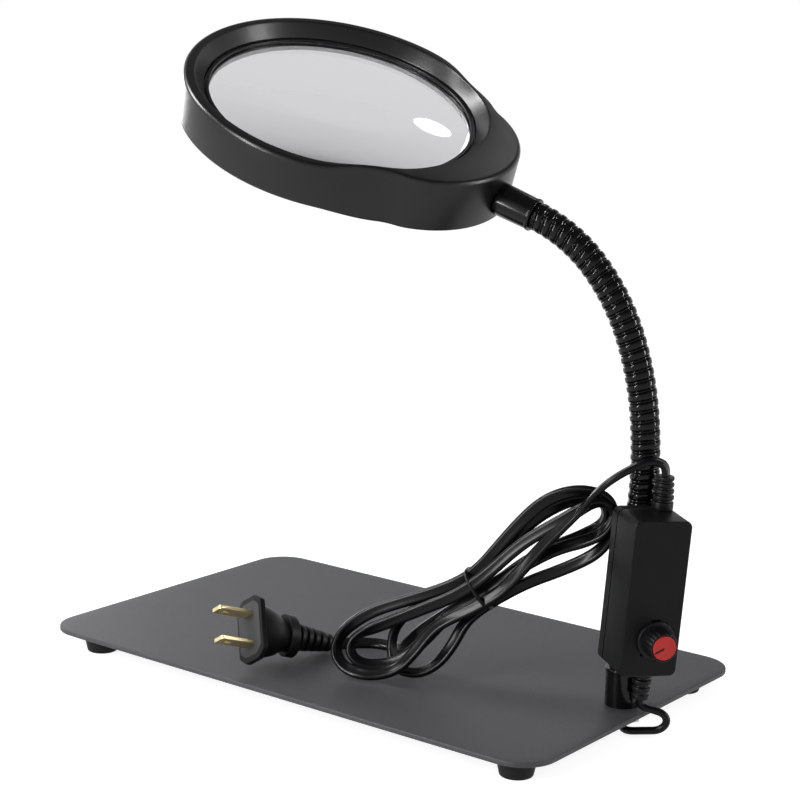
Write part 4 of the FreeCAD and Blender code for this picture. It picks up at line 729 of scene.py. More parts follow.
# ============================================================== driver case
@dataclass
class DriverCase:
    """The dimmer box on the stem, its knob, its bend reliefs and what holds it."""

    neck: Gooseneck
    width: float = 22.8
    depth: float = 22.0
    height: float = 60.0
    wall: float = 1.8
    corner: float = 2.5
    edge: float = 0.8
    station: float = 36.6
    yaw: float = 42.0
    offset: Pair = (2.8, 16.73)
    seam: float = 6.0
    seam_gap: float = 0.12
    knob_at: Pair = (1.4, -15.5)
    knob_hole: float = 7.7
    hole_edge: float = 0.35
    skirt: Profile = ((0, -0.9), (7.3, -0.9), (7.3, 1.5), (0, 1.5))
    grip: Profile = ((6.0, 1.2), (5.95, 2.0), (5.4, 8.9))
    flutes: int = 18
    flute_depth: float = 0.24
    cap_radius: float = 4.6
    cap_span: Pair = (8.2, 9.2)
    cap_gap: float = 0.1
    pointer: Triple = (4.1, 0.75, 2.2)
    pointer_span: Pair = (9.0, 9.23)
    pointer_angle: float = 207.0
    relief_at: Pair = (6.2, 6.0)
    relief_root: Profile = ((0, -2.9), (3.05, -2.9), (3.05, -1.85), (2.6, -1.85), (2.6, 0.0), (4.1, 0.0),
                            (4.1, 3.0))
    relief_lengths: Pair = (12.7, 15.0)
    ribs: int = 4
    rib_radii: Triple = (2.75, 4.0, 0.2)

    @property
    def place(self) -> Frame:
        """The case's frame: X across it, Y towards its back, Z up along the stem."""
        turned = self.neck.frame_at(self.station).turned(2, self.yaw)
        return turned.moved(-self.offset[0], -self.offset[1], 0.0)

    @property
    def front_face(self) -> Frame:
        """A frame on the case's middle whose Z points out of the front face and whose Y is up."""
        return self.place.turned(0, 90.0)

    @property
    def knob_place(self) -> Frame:
        """The dimmer's frame: Z out of the front face, origin on that face."""
        return self.place.moved(self.knob_at[0], -self.depth / 2, self.knob_at[1]).turned(0, 90.0)

    def relief_point(self, side: int, beyond: float) -> Frame:
        """A frame on the line of a bend relief, that far beyond the top (side 1) or the foot (-1)."""
        return self.place.moved(*self.relief_at, side * (self.height / 2 + beyond))

    def front_half(self) -> None:
        """Front shell: outlines over the front edge to the seam, back inside, and the dimmer's hole."""
        box = RoundedBox(self.width, self.height, self.corner, 9)
        front, seam, wall = self.depth / 2, -self.seam + self.seam_gap, self.wall
        section = softened([(wall, front - wall), (wall, seam), (0, seam), (0, front),
                            (self.edge * 1.6, front)], self.edge, 5)
        inner = box.outline(wall)
        rows = box.rows(section[1:])
        for wider, depth in ((self.hole_edge, 0.0), (0.0, self.hole_edge), (0.0, wall)):
            rows.append(at_depth(ring_towards(inner, self.knob_at, self.knob_hole + wider), front - depth))
        rows.append(at_depth(inner, front - wall))
        shell = Shell().grid(np.array(rows), wrap_rows=True)
        shell.piece("case_front_shell", self.front_face, CASE_PLASTIC, "base", "case_front")

    def knob(self) -> None:
        """The dimmer's knob, its coral cap and the pointer on it.

        The skirt is turned; the grip's radius dips between flutes by the cube of 1 plus a cosine, over 8.
        """
        angles = full_turn(self.flutes * 10)
        dip = (1 + np.cos(self.flutes * angles)) ** 3 / 8
        socket = self.cap_radius + self.cap_gap
        profile = softened([*self.grip, (socket, self.grip[-1][1]),
                            (socket, self.cap_span[0] - self.cap_gap)], 0.35, 5)
        depth = np.where(profile[:, :1] <= self.cap_radius + 0.35, 0.0, self.flute_depth)
        knob = lathe(self.skirt, 0.5, 96).capped(polar(profile[:, :1] - depth * dip, angles, profile[:, 1:]))
        knob.piece("knob_grip", self.knob_place, KNOB_PLASTIC, "knob", "dimmer_knob", crease=40.0)
        low, high = self.cap_span
        cap = lathe([(0, low), (self.cap_radius, low), (self.cap_radius, high), (0, high)], 0.25, 96)
        cap.piece("knob_coral_cap", self.knob_place, CAP_CORAL, "knob", "knob_cap")
        length, width, out = self.pointer
        line = RoundedBox(length, width, 0.3, 5).outline(0.0) + np.array([out, 0.0])
        mark = Shell().capped(np.array([at_depth(line, height) for height in self.pointer_span]))
        mark.piece("knob_pointer", self.knob_place.turned(2, self.pointer_angle), KNOB_PLASTIC, "knob")

    def relief(self, name: str, length: float, side: int, node: str) -> None:
        """A bend relief: a collar and tapering ribs, turned about the cord.

        Args:
            name: the piece's name.
            length: from the case's face to the tip.
            side: 1 on top of the case, -1 below it.
            node: the CAD node that it stands for.
        """
        corners = list(self.relief_root)
        groove, rib, taper = self.rib_radii
        foot = corners[-1][1]
        pitch = (length - foot) / self.ribs
        for step in range(self.ribs):
            low, radius = foot + pitch * step, rib - taper * step
            corners += [(groove, low + 0.05), (groove, low + pitch * 0.36), (radius, low + pitch * 0.42),
                        (radius, low + pitch)]
        place = self.relief_point(side, 0.0)
        place = place if side > 0 else place.turned(0, 180.0)
        shell = lathe(corners + [(0, length)], 0.28, 56)
        shell.piece(name, place, RELIEF_RUBBER, "base", node, crease=50.0)

    def build(self) -> None:
        """Makes every piece of the case; those inside it keep their CAD shape."""
        self.front_half()
        smooth_copies("base", CASE_PLASTIC, "case_rear")
        smooth_copies("base", FERRULE_BLACK, "case_strap")
        smooth_copies("base", ZINC, "case_screws", "strap_screws")
        self.knob()
        self.relief("relief_top", self.relief_lengths[0], 1, "mains_strain_relief")
        self.relief("relief_below", self.relief_lengths[1], -1, "output_strain_relief")
        smooth_copies("base", BOARD_GREEN, "driver_board")
        smooth_copies("base", PARTS_GREY, "driver_parts", "potentiometer")
        smooth_copies("knob", ZINC, "pot_shaft")


# ============================================================== head
@dataclass
class Head:
    """The lens head: a dished ring with a deeper handle, the lens, the light and the ferrule to the neck."""

    neck: Gooseneck
    roll: float = 17.0
    reach: float = 90.4
    drop: float = 12.5
    radius: float = 62.5
    height: float = 17.4
    handle_depth: float = 21.0
    ramp: Pair = (26.0, 57.0)
    wall: float = 2.3
    deck: float = 2.2
    fillet: float = 1.8
    foot_round: Profile = ((0.0, 0.9), (0.04, 0.6), (0.18, 0.3), (0.4, 0.1), (0.7, 0.0))
    lobe_offset: float = 32.7
    lobe_radius: float = 42.3
    blend: float = 18.0
    dish: float = 57.8
    dish_depth: float = 5.2
    seat: float = 54.0
    seat_depth: float = 9.55
    seat_gap: float = 0.05
    ledge: float = 51.5
    ledge_depth: float = 11.15
    sleeve: float = 52.4
    sleeve_bottom: float = 14.55
    core: Profile = ((57.6, 2.2), (57.2, 3.4), (55.8, 6.2), (55.8, 14.55))
    partition_section: Profile = ((60.2, 13.8), (64.8, 13.8), (64.8, 20.9), (60.2, 20.9))
    partition_angle: float = 34.0
    lens_radius: float = 53.7
    lens_clear: float = 51.4
    lens_surface: float = 290.0
    lens_under: float = 4000.0
    lens_edge: float = 3.0
    keeper: tuple[float, float, float, float] = (52.0, 53.4, 0.05, 1.15)
    # pale ring in the bore, a painted view of bright surroundings seen through the lens
    view_liner: tuple[float, float, float, float] = (51.7, 52.36, -14.5, -11.3)
    ferrule_bore: float = 1.8
    ferrule_root: Profile = ((1.8, 67.2), (3.2, 67.2))
    ferrule_radii: Triple = (6.5, 6.2, 5.2)
    ferrule_lip: float = 1.2
    ferrule_socket: float = 7.9
    waists: tuple[Triple, ...] = ((60.0, 3.3, 14.0), (-48.0, 5.2, 13.0))
    waist_fade: Pair = (3.0, 13.0)
    steps: tuple[int, int, int] = (150, 16, 90)

    @property
    def place(self) -> Frame:
        """The head's frame: X from the lens towards the neck, Z out of its top face."""
        end = self.neck.frame_at(self.neck.length)
        inward = -end.axes[:, 2]
        side = turn_about(inward, self.roll) @ end.axes[:, 1]
        normal = np.cross(inward, side)
        centre = end.origin - inward * self.reach + normal * self.drop
        return Frame(centre, np.stack([inward, side, normal], axis=1))

    def outline(self, inset: float) -> Points:
        """The head's outline as parallel arcs: ring, hollow, handle lobe, hollow, at equal angles.

        Args:
            inset: how far the outline is moved inwards.

        Returns:
            Points counter-clockwise from above.
        """
        far, near = self.radius + self.blend, self.lobe_radius + self.blend
        x = (far ** 2 - near ** 2 + self.lobe_offset ** 2) / (2 * self.lobe_offset)
        y = math.sqrt(far ** 2 - x ** 2)
        ring_end, lobe_end = math.atan2(y, x), math.atan2(y, x - self.lobe_offset)
        around, short, lobe = self.steps
        hollow = self.blend + inset

        def arc(centre: Pair, radius: float, first: float, last: float, count: int) -> Points:
            """Points at equal angles along one arc, without its last point."""
            return polar(radius, np.linspace(first, last, count, endpoint=False), 0.0)[:, :2] + centre

        return np.concatenate([
            arc((0, 0), self.radius - inset, ring_end, 2 * np.pi - ring_end, around),
            arc((x, -y), hollow, np.pi - ring_end, np.pi - lobe_end, short),
            arc((self.lobe_offset, 0), self.lobe_radius - inset, -lobe_end, lobe_end, lobe),
            arc((x, y), hollow, np.pi + lobe_end, np.pi + ring_end, short)])

    def bottoms(self) -> Points:
        """Depth of the wall's foot at each point of the outline, deeper round the handle by a smooth step."""
        start, end = self.ramp
        part = (self.outline(0.0)[:, 0] - start) / (end - start)
        return self.height + (self.handle_depth - self.height) * smooth_step(part)

    def waisted(self, points: Points) -> Points:
        """Draws the upper wall in where the ring meets the handle.

        Each waist is a bell curve of the angle about the lens; the pull grows by a smooth step from the lens
        seat to the ring's radius, and fades by one from the top face down to the wall's foot.

        Args:
            points: points of the housing, in the head's frame.

        Returns:
            The moved points.
        """
        x, y, z = np.moveaxis(points, -1, 0)
        reach, angle = np.hypot(x, y), np.degrees(np.arctan2(y, x))
        pull = sum(depth * np.exp(-((angle - centre) / spread) ** 2) for centre, depth, spread in self.waists)
        start, span = self.waist_fade
        pull = pull * smooth_step((reach - self.seat + 0.1) / (self.radius - self.seat))
        pull = pull * (1 - smooth_step((-z - start) / span))
        scale = 1 - pull / reach
        return np.stack([x * scale, y * scale, z], axis=-1)

    def housing(self) -> None:
        """The moulded shell, in one closed loop of rows, and the wall between the ring and the handle.

        The rows are circles from the sleeve over the lens seat and the dish, then the outline's parallel
        curves over the rounded top edge and the foot, and circles again under the deck.  The wall is a
        rectangle carried along an arc about the lens.
        """
        edge, foot = self.outline(0.0), self.bottoms()

        def around(profile: Profile | Points) -> list[Points]:
            """Circles about the lens, matched to the outline's points."""
            return [at_depth(ring_towards(edge, (0, 0), radius), -depth) for radius, depth in profile]

        rows = around(softened([
            (self.sleeve, self.sleeve_bottom), (self.sleeve, self.ledge_depth),
            (self.ledge, self.ledge_depth), (self.ledge, self.seat_depth),
            (self.seat, self.seat_depth), (self.seat, self.dish_depth),
            (self.dish, 0.5), (self.dish + 0.5, 0.0), (self.dish + 1.2, 0.0)], 0.3))
        for angle in np.linspace(0, np.pi / 2, 9):
            inset, depth = self.fillet * (1 - math.sin(angle)), self.fillet * (1 - math.cos(angle))
            rows.append(at_depth(self.outline(inset), -depth))
        for inset, rise in (*self.foot_round, (self.wall, 0.0)):
            rows.append(at_depth(self.outline(inset), rise - foot))
        rows.append(at_depth(self.outline(self.wall), -self.deck))
        shell = Shell().grid(self.waisted(np.array(rows + around(self.core))), wrap_rows=True)
        angles = np.radians(np.linspace(-self.partition_angle, self.partition_angle, 60))
        wall = np.array([polar(radius, angles, -depth) for radius, depth in self.partition_section])
        shell.grid(wall, wrap_rows=True, wrap_columns=False)
        piece = shell.build("head_moulding", self.place, HEAD_PLASTIC, 40.0)
        close_open_ends(piece)
        settle(piece, "head", HEAD_PLASTIC.slot, "head_housing")

    def lens(self) -> None:
        """The lens with its keeper ring, and below it a pale ring whose colour is a painted view: it stands
        in for the bright surroundings seen through the glass.

        The lens has two spherical faces, lower than their crowns by R less the root of R squared less r
        squared, and a flat land.  The underside is nearly flat, so that a low line of sight isn't caught
        inside the glass.
        """
        low = -(self.seat_depth - self.seat_gap)
        top = low + self.lens_edge
        radii = np.linspace(0, self.lens_clear, 40)
        rise, fall = (ball - np.sqrt(ball ** 2 - radii ** 2) for ball in (self.lens_surface, self.lens_under))
        lower = list(zip(radii, low - fall[-1] + fall))
        upper = list(zip(radii[::-1], (top + rise[-1] - rise)[::-1]))
        glass = lathe(lower + [(self.lens_radius, low), (self.lens_radius, top)] + upper, 0.0, 160)
        glass.piece("lens_glass_disc", self.place, LENS_GLASS, "head", "lens", crease=20.0)
        inner, outer, bottom, crown = self.keeper
        self.ring(inner, outer, top + bottom, top + crown, 0.3).piece(
            "lens_keeper", self.place, HEAD_PLASTIC, "head", "lens_ring")
        # painted view: a pale ring inside the bore stands in for the bright surroundings seen through the
        # lens
        self.ring(*self.view_liner, 0.15).piece("painted_view_liner", self.place, MILKY, "head")

    @staticmethod
    def ring(inner: float, outer: float, low: float, high: float, edge: float) -> Shell:
        """A flat ring about Z of rectangular section, with softened edges."""
        return lathe([(inner, low), (outer, low), (outer, high), (inner, high)], edge, 160, closed=True)

    def ferrule(self) -> None:
        """The turned ferrule: a stub through the head's wall and a socket for the neck."""
        seat, end = self.lobe_offset + self.lobe_radius + 0.1, self.reach
        outer, waist, bore = self.ferrule_radii
        root = self.ferrule_root[-1][0]
        lip, socket = end - self.ferrule_lip, end - self.ferrule_socket
        corners = [*self.ferrule_root, (root, seat), (outer, seat), (waist, lip), (outer, lip), (outer, end),
                   (bore, end), (bore, socket), (self.ferrule_bore, socket)]
        place = self.place.moved(0.0, 0.0, -self.drop).turned(1, 90.0)
        turned = lathe(corners, 0.35, 72, closed=True)
        turned.piece("ferrule_turned", place, FERRULE_BLACK, "head", "upper_ferrule")

    def build(self) -> None:
        """Makes every piece of the head."""
        self.housing()
        self.lens()
        self.ferrule()
        smooth_copies("head", HEAD_PLASTIC, "head_cover", "handle_cover")
        smooth_copies("head", ZINC, "head_screws")
        smooth_copies("head", MILKY, "light_diffuser")
        smooth_copies("head", BOARD_GREEN, "led_board")
        smooth_copies("head", PHOSPHOR, "leds")
        smooth_copies("head", ZINC, "ferrule_nut")


# ============================================================== plug
@dataclass
class Plug:
    """The moulded plug with its two flat blades; its frame's Z points to the blades' tips."""

    plate: Frame
    root: Triple = (-22.6, -60.3, 24.9)
    axis: Triple = (-0.29, -0.91, 0.30)
    blade_side: Triple = (-0.46, 0.40, 0.79)
    flange: Triple = (27.0, 17.0, 2.6)
    flange_cut: Pair = (3.2, 4.0)
    face_inset: float = 1.5
    sections: Profile = ((11.0, 2.4), (11.0, 5.0), (10.6, 7.6), (9.6, 10.8), (8.0, 13.4), (7.1, 15.2),
                         (7.0, 16.9))
    flattening: float = 0.72
    ring_radius: float = 9.0
    ring_span: Pair = (16.6, 21.0)
    relief_length: float = 18.6
    ribs: int = 5
    rib_radii: Triple = (3.0, 5.8, 0.45)
    blade: Triple = (1.5, 6.3, 15.8)
    blade_spacing: float = 12.7
    blade_root: float = 6.0
    blade_bevel: Pair = (0.94, 0.2)
    blade_hole: Pair = (4.5, 1.5)

    @property
    def place(self) -> Frame:
        """The plug's frame: Z towards the blades' tips, X from one blade to the other."""
        z = np.array(self.axis) / np.linalg.norm(self.axis)
        side = np.array(self.blade_side)
        x = side - z * (side @ z)
        x /= np.linalg.norm(x)
        return Frame(self.plate.point(*self.root), np.stack([x, np.cross(z, x), z], axis=1))

    @property
    def tail(self) -> Points:
        """The bend relief's end, in the lamp's millimetres."""
        return self.place.point(0.0, 0.0, -self.ring_span[1] - self.relief_length)

    def ovals(self, sections: Profile | Points) -> Points:
        """Ovals round the plug's axis, one for each (radius, depth behind its face)."""
        squash = [1, self.flattening, 1]
        return np.array([circle(radius, -depth, 56)[0] * squash for radius, depth in sections])

    def body(self) -> list[bpy.types.Object]:
        """Flange, rounded body, ring and ribbed bend relief, as closed forms that overlap, and its face.

        Returns:
            The moulding and its face.
        """
        length, width, thick = self.flange
        cut_x, cut_y = self.flange_cut
        half_x, half_y = length / 2, width / 2
        half = [(half_x, half_y - cut_y), (half_x - cut_x, half_y), (cut_x - half_x, half_y),
                (-half_x, half_y - cut_y)]
        outline = softened(half + [(-x, -y) for x, y in half], 0.9, closed=True)
        shell = Shell()
        bevel = ((0.5, 0.0), (0.15, -0.12), (0.0, -0.5), (0.0, -thick + 0.4), (0.5, -thick))
        shell.capped(np.array([at_depth(outline * (1 - inset / half_y), depth) for inset, depth in bevel]))
        shell.capped(self.ovals(self.sections))
        start, end = self.ring_span
        shell.capped(self.ovals(softened([(self.ring_radius - 1.0, start), (self.ring_radius, start),
                                          (self.ring_radius, end), (self.ring_radius - 1.0, end)], 0.5)))
        pitch = self.relief_length / self.ribs
        groove, rib, taper = self.rib_radii
        corners = [(0, -end + 0.5)]
        for step in range(self.ribs):
            top, radius = -end - pitch * step, rib - taper * step
            corners += [(groove, top), (groove, top - pitch * 0.34), (radius, top - pitch * 0.4),
                        (radius - 0.15, top - pitch)]
        profile = softened(corners + [(0, -end - self.relief_length)], 0.3, 3)
        shell.grid(circle(profile[:, 0], profile[:, 1], 56))
        body = shell.piece("plug_moulding", self.place, PLUG_BLACK, "base", "plug_body", crease=40.0)
        inner = outline * (1 - self.face_inset / half_y)
        face = Shell().capped(np.array([at_depth(inner * size, depth)
                                        for size, depth in ((1, -0.3), (1, 0.12), (0.985, 0.16))]))
        return [body, face.piece("plug_front_face", self.place, PLUG_FACE, "base")]

    def blades(self) -> bpy.types.Object:
        """Two flat blades with softened tips and a round hole each, cut as a strip between outline and hole.

        Returns:
            The pair as one piece.
        """
        thick, width, length = self.blade
        narrow, bevel = self.blade_bevel
        below_tip, radius = self.blade_hole
        half, root = width / 2, -self.blade_root
        outline = softened([(-half, root), (half, root), (half, length), (-half, length)], 1.2, 6,
                           closed=True)
        hole = ring_towards(outline, (0.0, length - below_tip), radius)
        face, near, far = outline * [narrow, 1.0], thick / 2 - bevel, thick / 2
        shell = Shell()
        for middle in (-self.blade_spacing / 2, self.blade_spacing / 2):
            rows = [np.insert(ring, 0, middle + x, axis=1) for ring, x in (
                (outline, -near), (face, -far), (hole, -far), (hole, far), (face, far), (outline, near))]
            shell.grid(np.array(rows), wrap_rows=True)
        return shell.piece("plug_blade_pair", self.place, BLADE_BRASS, "base", "plug_blades")


# ============================================================== cords
@dataclass
class NurbsLine:
    """A smooth line through space with given control points, in metres."""

    name: str
    points: Points

    def curve(self, bevel: float = 0.0) -> bpy.types.Object:
        """The line as a curve object of one open spline of order 3 that reaches its end points.

        Args:
            bevel: radius of a round section, in metres.

        Returns:
            The curve object.
        """
        data = bpy.data.curves.new(self.name, "CURVE")
        data.dimensions = "3D"
        data.resolution_u = 12
        data.bevel_depth, data.bevel_resolution = bevel, 5
        data.use_fill_caps = True
        spline = data.splines.new("NURBS")
        spline.points.add(len(self.points) - 1)
        spline.points.foreach_set("co", np.hstack([self.points, np.ones((len(self.points), 1))]).ravel())
        spline.order_u = 3
        spline.use_endpoint_u = True
        return linked(self.name, data)

    def read(self) -> Points:
        """The spline's own points, as Blender evaluates it."""
        piece = self.curve()
        bpy.context.view_layer.update()
        mesh = bpy.data.meshes.new_from_object(piece)
        line = np.zeros(len(mesh.vertices) * 3)
        mesh.vertices.foreach_get("co", line)
        bpy.data.meshes.remove(mesh)
        bpy.data.objects.remove(piece)
        return line.reshape(-1, 3)


def unit(vectors: Points) -> Points:
    """Vectors brought to a length of one."""
    return vectors / np.linalg.norm(vectors, axis=-1, keepdims=True)


def super_ellipse(angles: Points, half: Pair, power: Pair) -> Points:
    """An oval of two half axes; the sizes of its cosine and sine are raised to powers, their signs kept."""
    waves = np.stack([np.cos(angles), np.sin(angles)], axis=-1)
    return np.sign(waves) * np.abs(waves) ** power * half


@dataclass
class Cords:
    """The flat mains cord with its tied hank and plug, and the thin cable to the post."""

    plate: Frame
    case: DriverCase
    plug: Plug
    azimuth: float = 20.0
    foot: Triple = (25.2, -32.6, 9.0)
    width: float = 5.0
    thickness: float = 2.7
    section_powers: Pair = (0.72, 0.62)
    groove: Pair = (0.30, 0.16)
    exit_rise: float = 3.6
    fold_turn: Pair = (68.0, 42.0)
    sways: tuple[Triple, ...] = ((0.225, 0.31, 0.0), (0.125, 0.117, 1.0))
    lead_turn: Triple = (84.0, 0.085, 0.05)
    cable: float = 3.0
    cable_drop: float = 1.6
    lead: tuple[Triple, ...] = (
        (126.4, -2.0, 108.2), (123.4, -5.2, 107.6), (118.4, -10.0, 104.4), (112.0, -13.2, 99.2),
        (104.6, -12.6, 91.6))
    hank: tuple[Triple, ...] = (
        (79.0, 78.6, 6.5), (71.5, 70.8, 6.5), (66.0, 65.0, 6.0), (60.6, 58.4, 5.5), (54.0, 49.5, 5.0),
        (46.4, 40.6, 4.0), (35.2, 32.8, 4.0), (27.0, 28.4, 4.0), (20.0, 23.2, 4.5), (13.6, 13.6, 5.5),
        (7.6, 6.4, 7.0), (0.0, 3.4, 8.5), (-8.4, 3.0, 9.0), (-16.0, 4.4, 6.5), (-20.2, 9.4, 3.5),
        (-18.6, 15.6, 2.0), (-13.4, 21.2, 1.5), (-5.4, 26.8, 1.0), (4.0, 31.0, 1.0), (16.0, 35.8, 1.0),
        (28.3, 41.6, 1.0), (37.5, 48.6, 1.0), (45.4, 59.1, 0.5), (53.0, 68.9, 0.0), (60.4, 76.8, 0.0),
        (68.2, 81.6, 0.0), (76.9, 83.9, 0.0), (84.9, 83.3, -0.5), (89.1, 79.1, -1.0), (89.1, 73.1, -1.0),
        (85.5, 67.5, -1.0), (78.6, 63.8, -0.5), (68.0, 60.0, 0.0), (57.5, 53.6, 0.5), (44.0, 43.4, 0.0),
        (32.8, 35.2, 0.0), (24.0, 26.8, 1.0), (15.0, 15.6, 2.5), (7.0, 8.4, 4.0), (-2.0, 5.8, 5.0),
        (-9.4, 6.2, 5.5), (-14.0, 10.0, 4.0), (-12.6, 15.6, 3.0), (-6.0, 19.8, 3.5), (3.0, 24.4, 4.5),
        (15.0, 30.8, 5.5), (30.1, 38.4, 5.5), (41.3, 47.6, 5.0), (53.4, 60.3, 3.5), (62.9, 67.3, 3.0),
        (72.5, 73.7, 2.5), (79.4, 78.8, 2.0), (85.5, 80.5, 1.0), (89.4, 76.9, 0.0), (89.6, 70.3, -1.0),
        (87.0, 64.0, -2.0), (81.2, 57.6, -2.5), (70.0, 51.2, -2.5), (57.0, 45.0, -2.5), (46.6, 38.4, -2.5),
        (35.8, 30.4, -2.5), (31.0, 24.4, -2.0), (27.5, 16.6, -1.0), (22.0, 8.2, 0.0), (15.5, 3.6, 1.0),
        (8.0, 3.0, 1.0), (3.0, 5.6, -1.0), (1.0, 11.0, -4.0), (1.6, 18.0, -5.0), (6.0, 24.6, -5.0),
        (15.0, 31.2, -4.5), (29.8, 39.6, -4.5), (39.0, 46.4, -4.5), (45.6, 55.4, -4.0), (53.1, 65.2, -4.0),
        (62.6, 73.7, -3.5), (72.0, 78.8, -3.5), (80.3, 80.4, -4.0), (85.3, 77.0, -4.5), (84.8, 70.8, -5.0),
        (77.7, 65.2, -5.0), (66.0, 59.4, -5.5), (54.0, 51.6, -6.0), (44.3, 43.0, -6.5), (33.1, 34.4, -6.5),
        (24.0, 27.6, -7.0), (14.0, 19.6, -8.0), (6.4, 12.4, -10.5), (2.0, 6.6, -16.5), (-4.5, 3.0, -27.8),
        (-13.7, 2.4, -31.7), (-23.0, 2.4, -28.7), (-28.4, 2.6, -24.0))
    cable_route: tuple[Triple, ...] = (
        (124.2, -0.6, 12.0), (125.7, -0.2, 10.95), (129.0, 1.1, 10.6), (131.8, 2.3, 9.8), (133.5, 3.0, 7.9),
        (133.3, 2.9, 5.2), (130.8, 1.8, 2.7), (126.6, -0.6, 2.3), (119.8, -5.6, 1.9), (113.5, 2.9, 1.8),
        (113.5, 2.9, 9.0))
    tie_at: Triple = (37.5, 40.6, -0.6)
    tie_turn: float = 37.0
    tie_reach: Pair = (8.6, 7.0)
    tie_radius: float = 0.75
    tie_power: float = 0.8

    @property
    def hank_place(self) -> Frame:
        """The hank's frame: X along the plate, Y up, Z through the hank towards its front."""
        return self.plate.moved(*self.foot).turned(2, self.azimuth).turned(0, 90.0)

    def mains_line(self) -> Points:
        """The whole mains cord's middle line, from the case to the plug, in metres."""
        start = self.case.relief_point(1, self.case.relief_lengths[0]).origin
        rise = self.case.place.axes[:, 2] * self.exit_rise
        route = [[start * MM], [(start + rise) * MM], self.plate.place(np.array(self.lead)),
                 self.hank_place.place(np.array(self.hank)), [self.plug.tail * MM]]
        return NurbsLine("mains_line", np.vstack(route)).read()

    def flat_section(self, steps: int = 24) -> Points:
        """Cross-section of the two-core cord: a flat oval whose faces dip in the middle by a bell curve."""
        half = self.width / 2, self.thickness / 2
        wide, thin = super_ellipse(full_turn(steps), half, self.section_powers).T
        depth, share = self.groove
        dip = depth * np.exp(-(wide / (share * self.width)) ** 2) * np.sign(thin)
        return np.stack([wide, thin - dip], axis=-1)

    def normals(self, along: Points, steps: Points) -> Points:
        """Direction of the cord's broad side: towards the hank's front, but edge-on where it bends hard.

        The turn grows with the bend b as b squared over b squared plus h squared, sways a little along the
        cord, and is nearly a right angle on the lead above the case.

        Args:
            along: unit direction of the line at each point.
            steps: distance from point to point, in metres.

        Returns:
            One unit vector per point.
        """
        facing = np.broadcast_to(self.hank_place.axes[:, 2], along.shape)
        facing = unit(facing - along * np.sum(facing * along, axis=1, keepdims=True))
        kernel = np.hanning(41) / np.hanning(41).sum()
        bend = np.convolve(np.linalg.norm(np.gradient(along, axis=0), axis=1) / steps, kernel, mode="same")
        travelled = np.cumsum(steps)
        turn, half = self.fold_turn
        angle = np.radians(turn) * bend ** 2 / (bend ** 2 + half ** 2)
        angle += sum(size * np.sin(travelled * 2 * np.pi / wave + phase) for size, wave, phase in self.sways)
        lead_turn, end, fade = self.lead_turn
        lead = np.clip((end - travelled) / fade, 0, 1)
        angle = (angle * (1 - lead) + np.radians(lead_turn) * lead)[:, None]
        return facing * np.cos(angle) + np.cross(along, facing) * np.sin(angle)

    def mains_cord(self) -> tuple[bpy.types.Object, Points]:
        """The flat cord: its section carried along the line.

        Returns:
            The cord's piece and its line.
        """
        line = self.mains_line()
        slope = np.gradient(line, axis=0)
        along = unit(slope)
        normal = self.normals(along, np.linalg.norm(slope, axis=1))
        across = np.cross(along, normal)
        section = self.flat_section() * MM
        wide, thin = section[None, :, :1], section[None, :, 1:]
        shell = Shell().capped(line[:, None] + across[:, None] * wide + normal[:, None] * thin)
        nodes = ("mains_cord", "cord_hank", "mains_cord_tail")
        return shell.piece("mains_cord_flat", None, SHEATH, "base", *nodes, crease=CREASE_SOFT), line

    def tie(self) -> bpy.types.Object:
        """A wire tie: a round wire carried along a super-ellipse round the hank's waist.

        Returns:
            The tie's piece.
        """
        angles = full_turn(64)
        wire = circle(self.tie_radius, 0.0, 12)[0]
        middle = super_ellipse(angles, self.tie_reach, (self.tie_power, self.tie_power))
        loop = middle[:, None] + polar(1.0, angles, 0.0)[:, None, :2] * wire[None, :, :1]
        rings = np.concatenate([np.broadcast_to(wire[None, :, 1:2], (*loop.shape[:2], 1)), loop], axis=-1)
        place = self.hank_place.moved(*self.tie_at).turned(2, self.tie_turn)
        shell = Shell().grid(rings, wrap_rows=True)
        return shell.piece("hank_tie", place, TIE_WIRE, "base", "cord_tie", crease=CREASE_SOFT)

    def output_cable(self) -> None:
        """The thin round cable from the case's lower relief, round the plate's edge and up the post."""
        start = self.case.relief_point(-1, self.case.relief_lengths[1]).origin
        drop = -self.case.place.axes[:, 2] * self.cable_drop
        points = np.vstack([[start], [start + drop], self.plate.place(np.array(self.cable_route)) / MM]) * MM
        piece = NurbsLine("lamp_cable", points).curve(self.cable / 2 * MM)
        piece.data.materials.append(SHEATH.material())
        settle(piece, "base", SHEATH.slot, "output_cable")

    def build(self) -> None:
        self.output_cable()
        piece, line = self.mains_cord()
        tie = self.tie()
        body, face = self.plug.body()
        blades = self.plug.blades()


# ============================================================== studio
class Reach(Enum):
    """What a lamp's light takes part in: soft light on colours, or the bright lines that gloss shows."""

    SOFT = "soft"
    GLOSS = "gloss"
    SPOT = "spot"


@dataclass(frozen=True)
class Lamp:
    """A flat lamp that faces the target: degrees from X and above the horizon, metres, watts."""

    name: str
    azimuth: float
    elevation: float
    distance: float
    size: Pair
    power: float
    reach: Reach

    def build(self, target: Triple) -> None:
        """Makes the lamp.

        Args:
            target: the point it faces, in metres.
        """
        turn, rise = math.radians(self.azimuth), math.radians(self.elevation)
        away = Vector((math.cos(rise) * math.cos(turn), math.cos(rise) * math.sin(turn), math.sin(rise)))
        data = bpy.data.lights.new(self.name, "AREA")
        data.shape = "ELLIPSE" if self.reach is Reach.SPOT else "RECTANGLE"
        data.size, data.size_y, data.energy = *self.size, self.power
        lamp = linked(self.name, data)
        lamp.location = Vector(target) + away * self.distance
        lamp.rotation_euler = (-away).to_track_quat("-Z", "Y").to_euler()
        lamp.visible_camera = lamp.visible_transmission = False
        lamp.visible_diffuse = self.reach is Reach.SOFT
        lamp.visible_glossy = self.reach is not Reach.SOFT


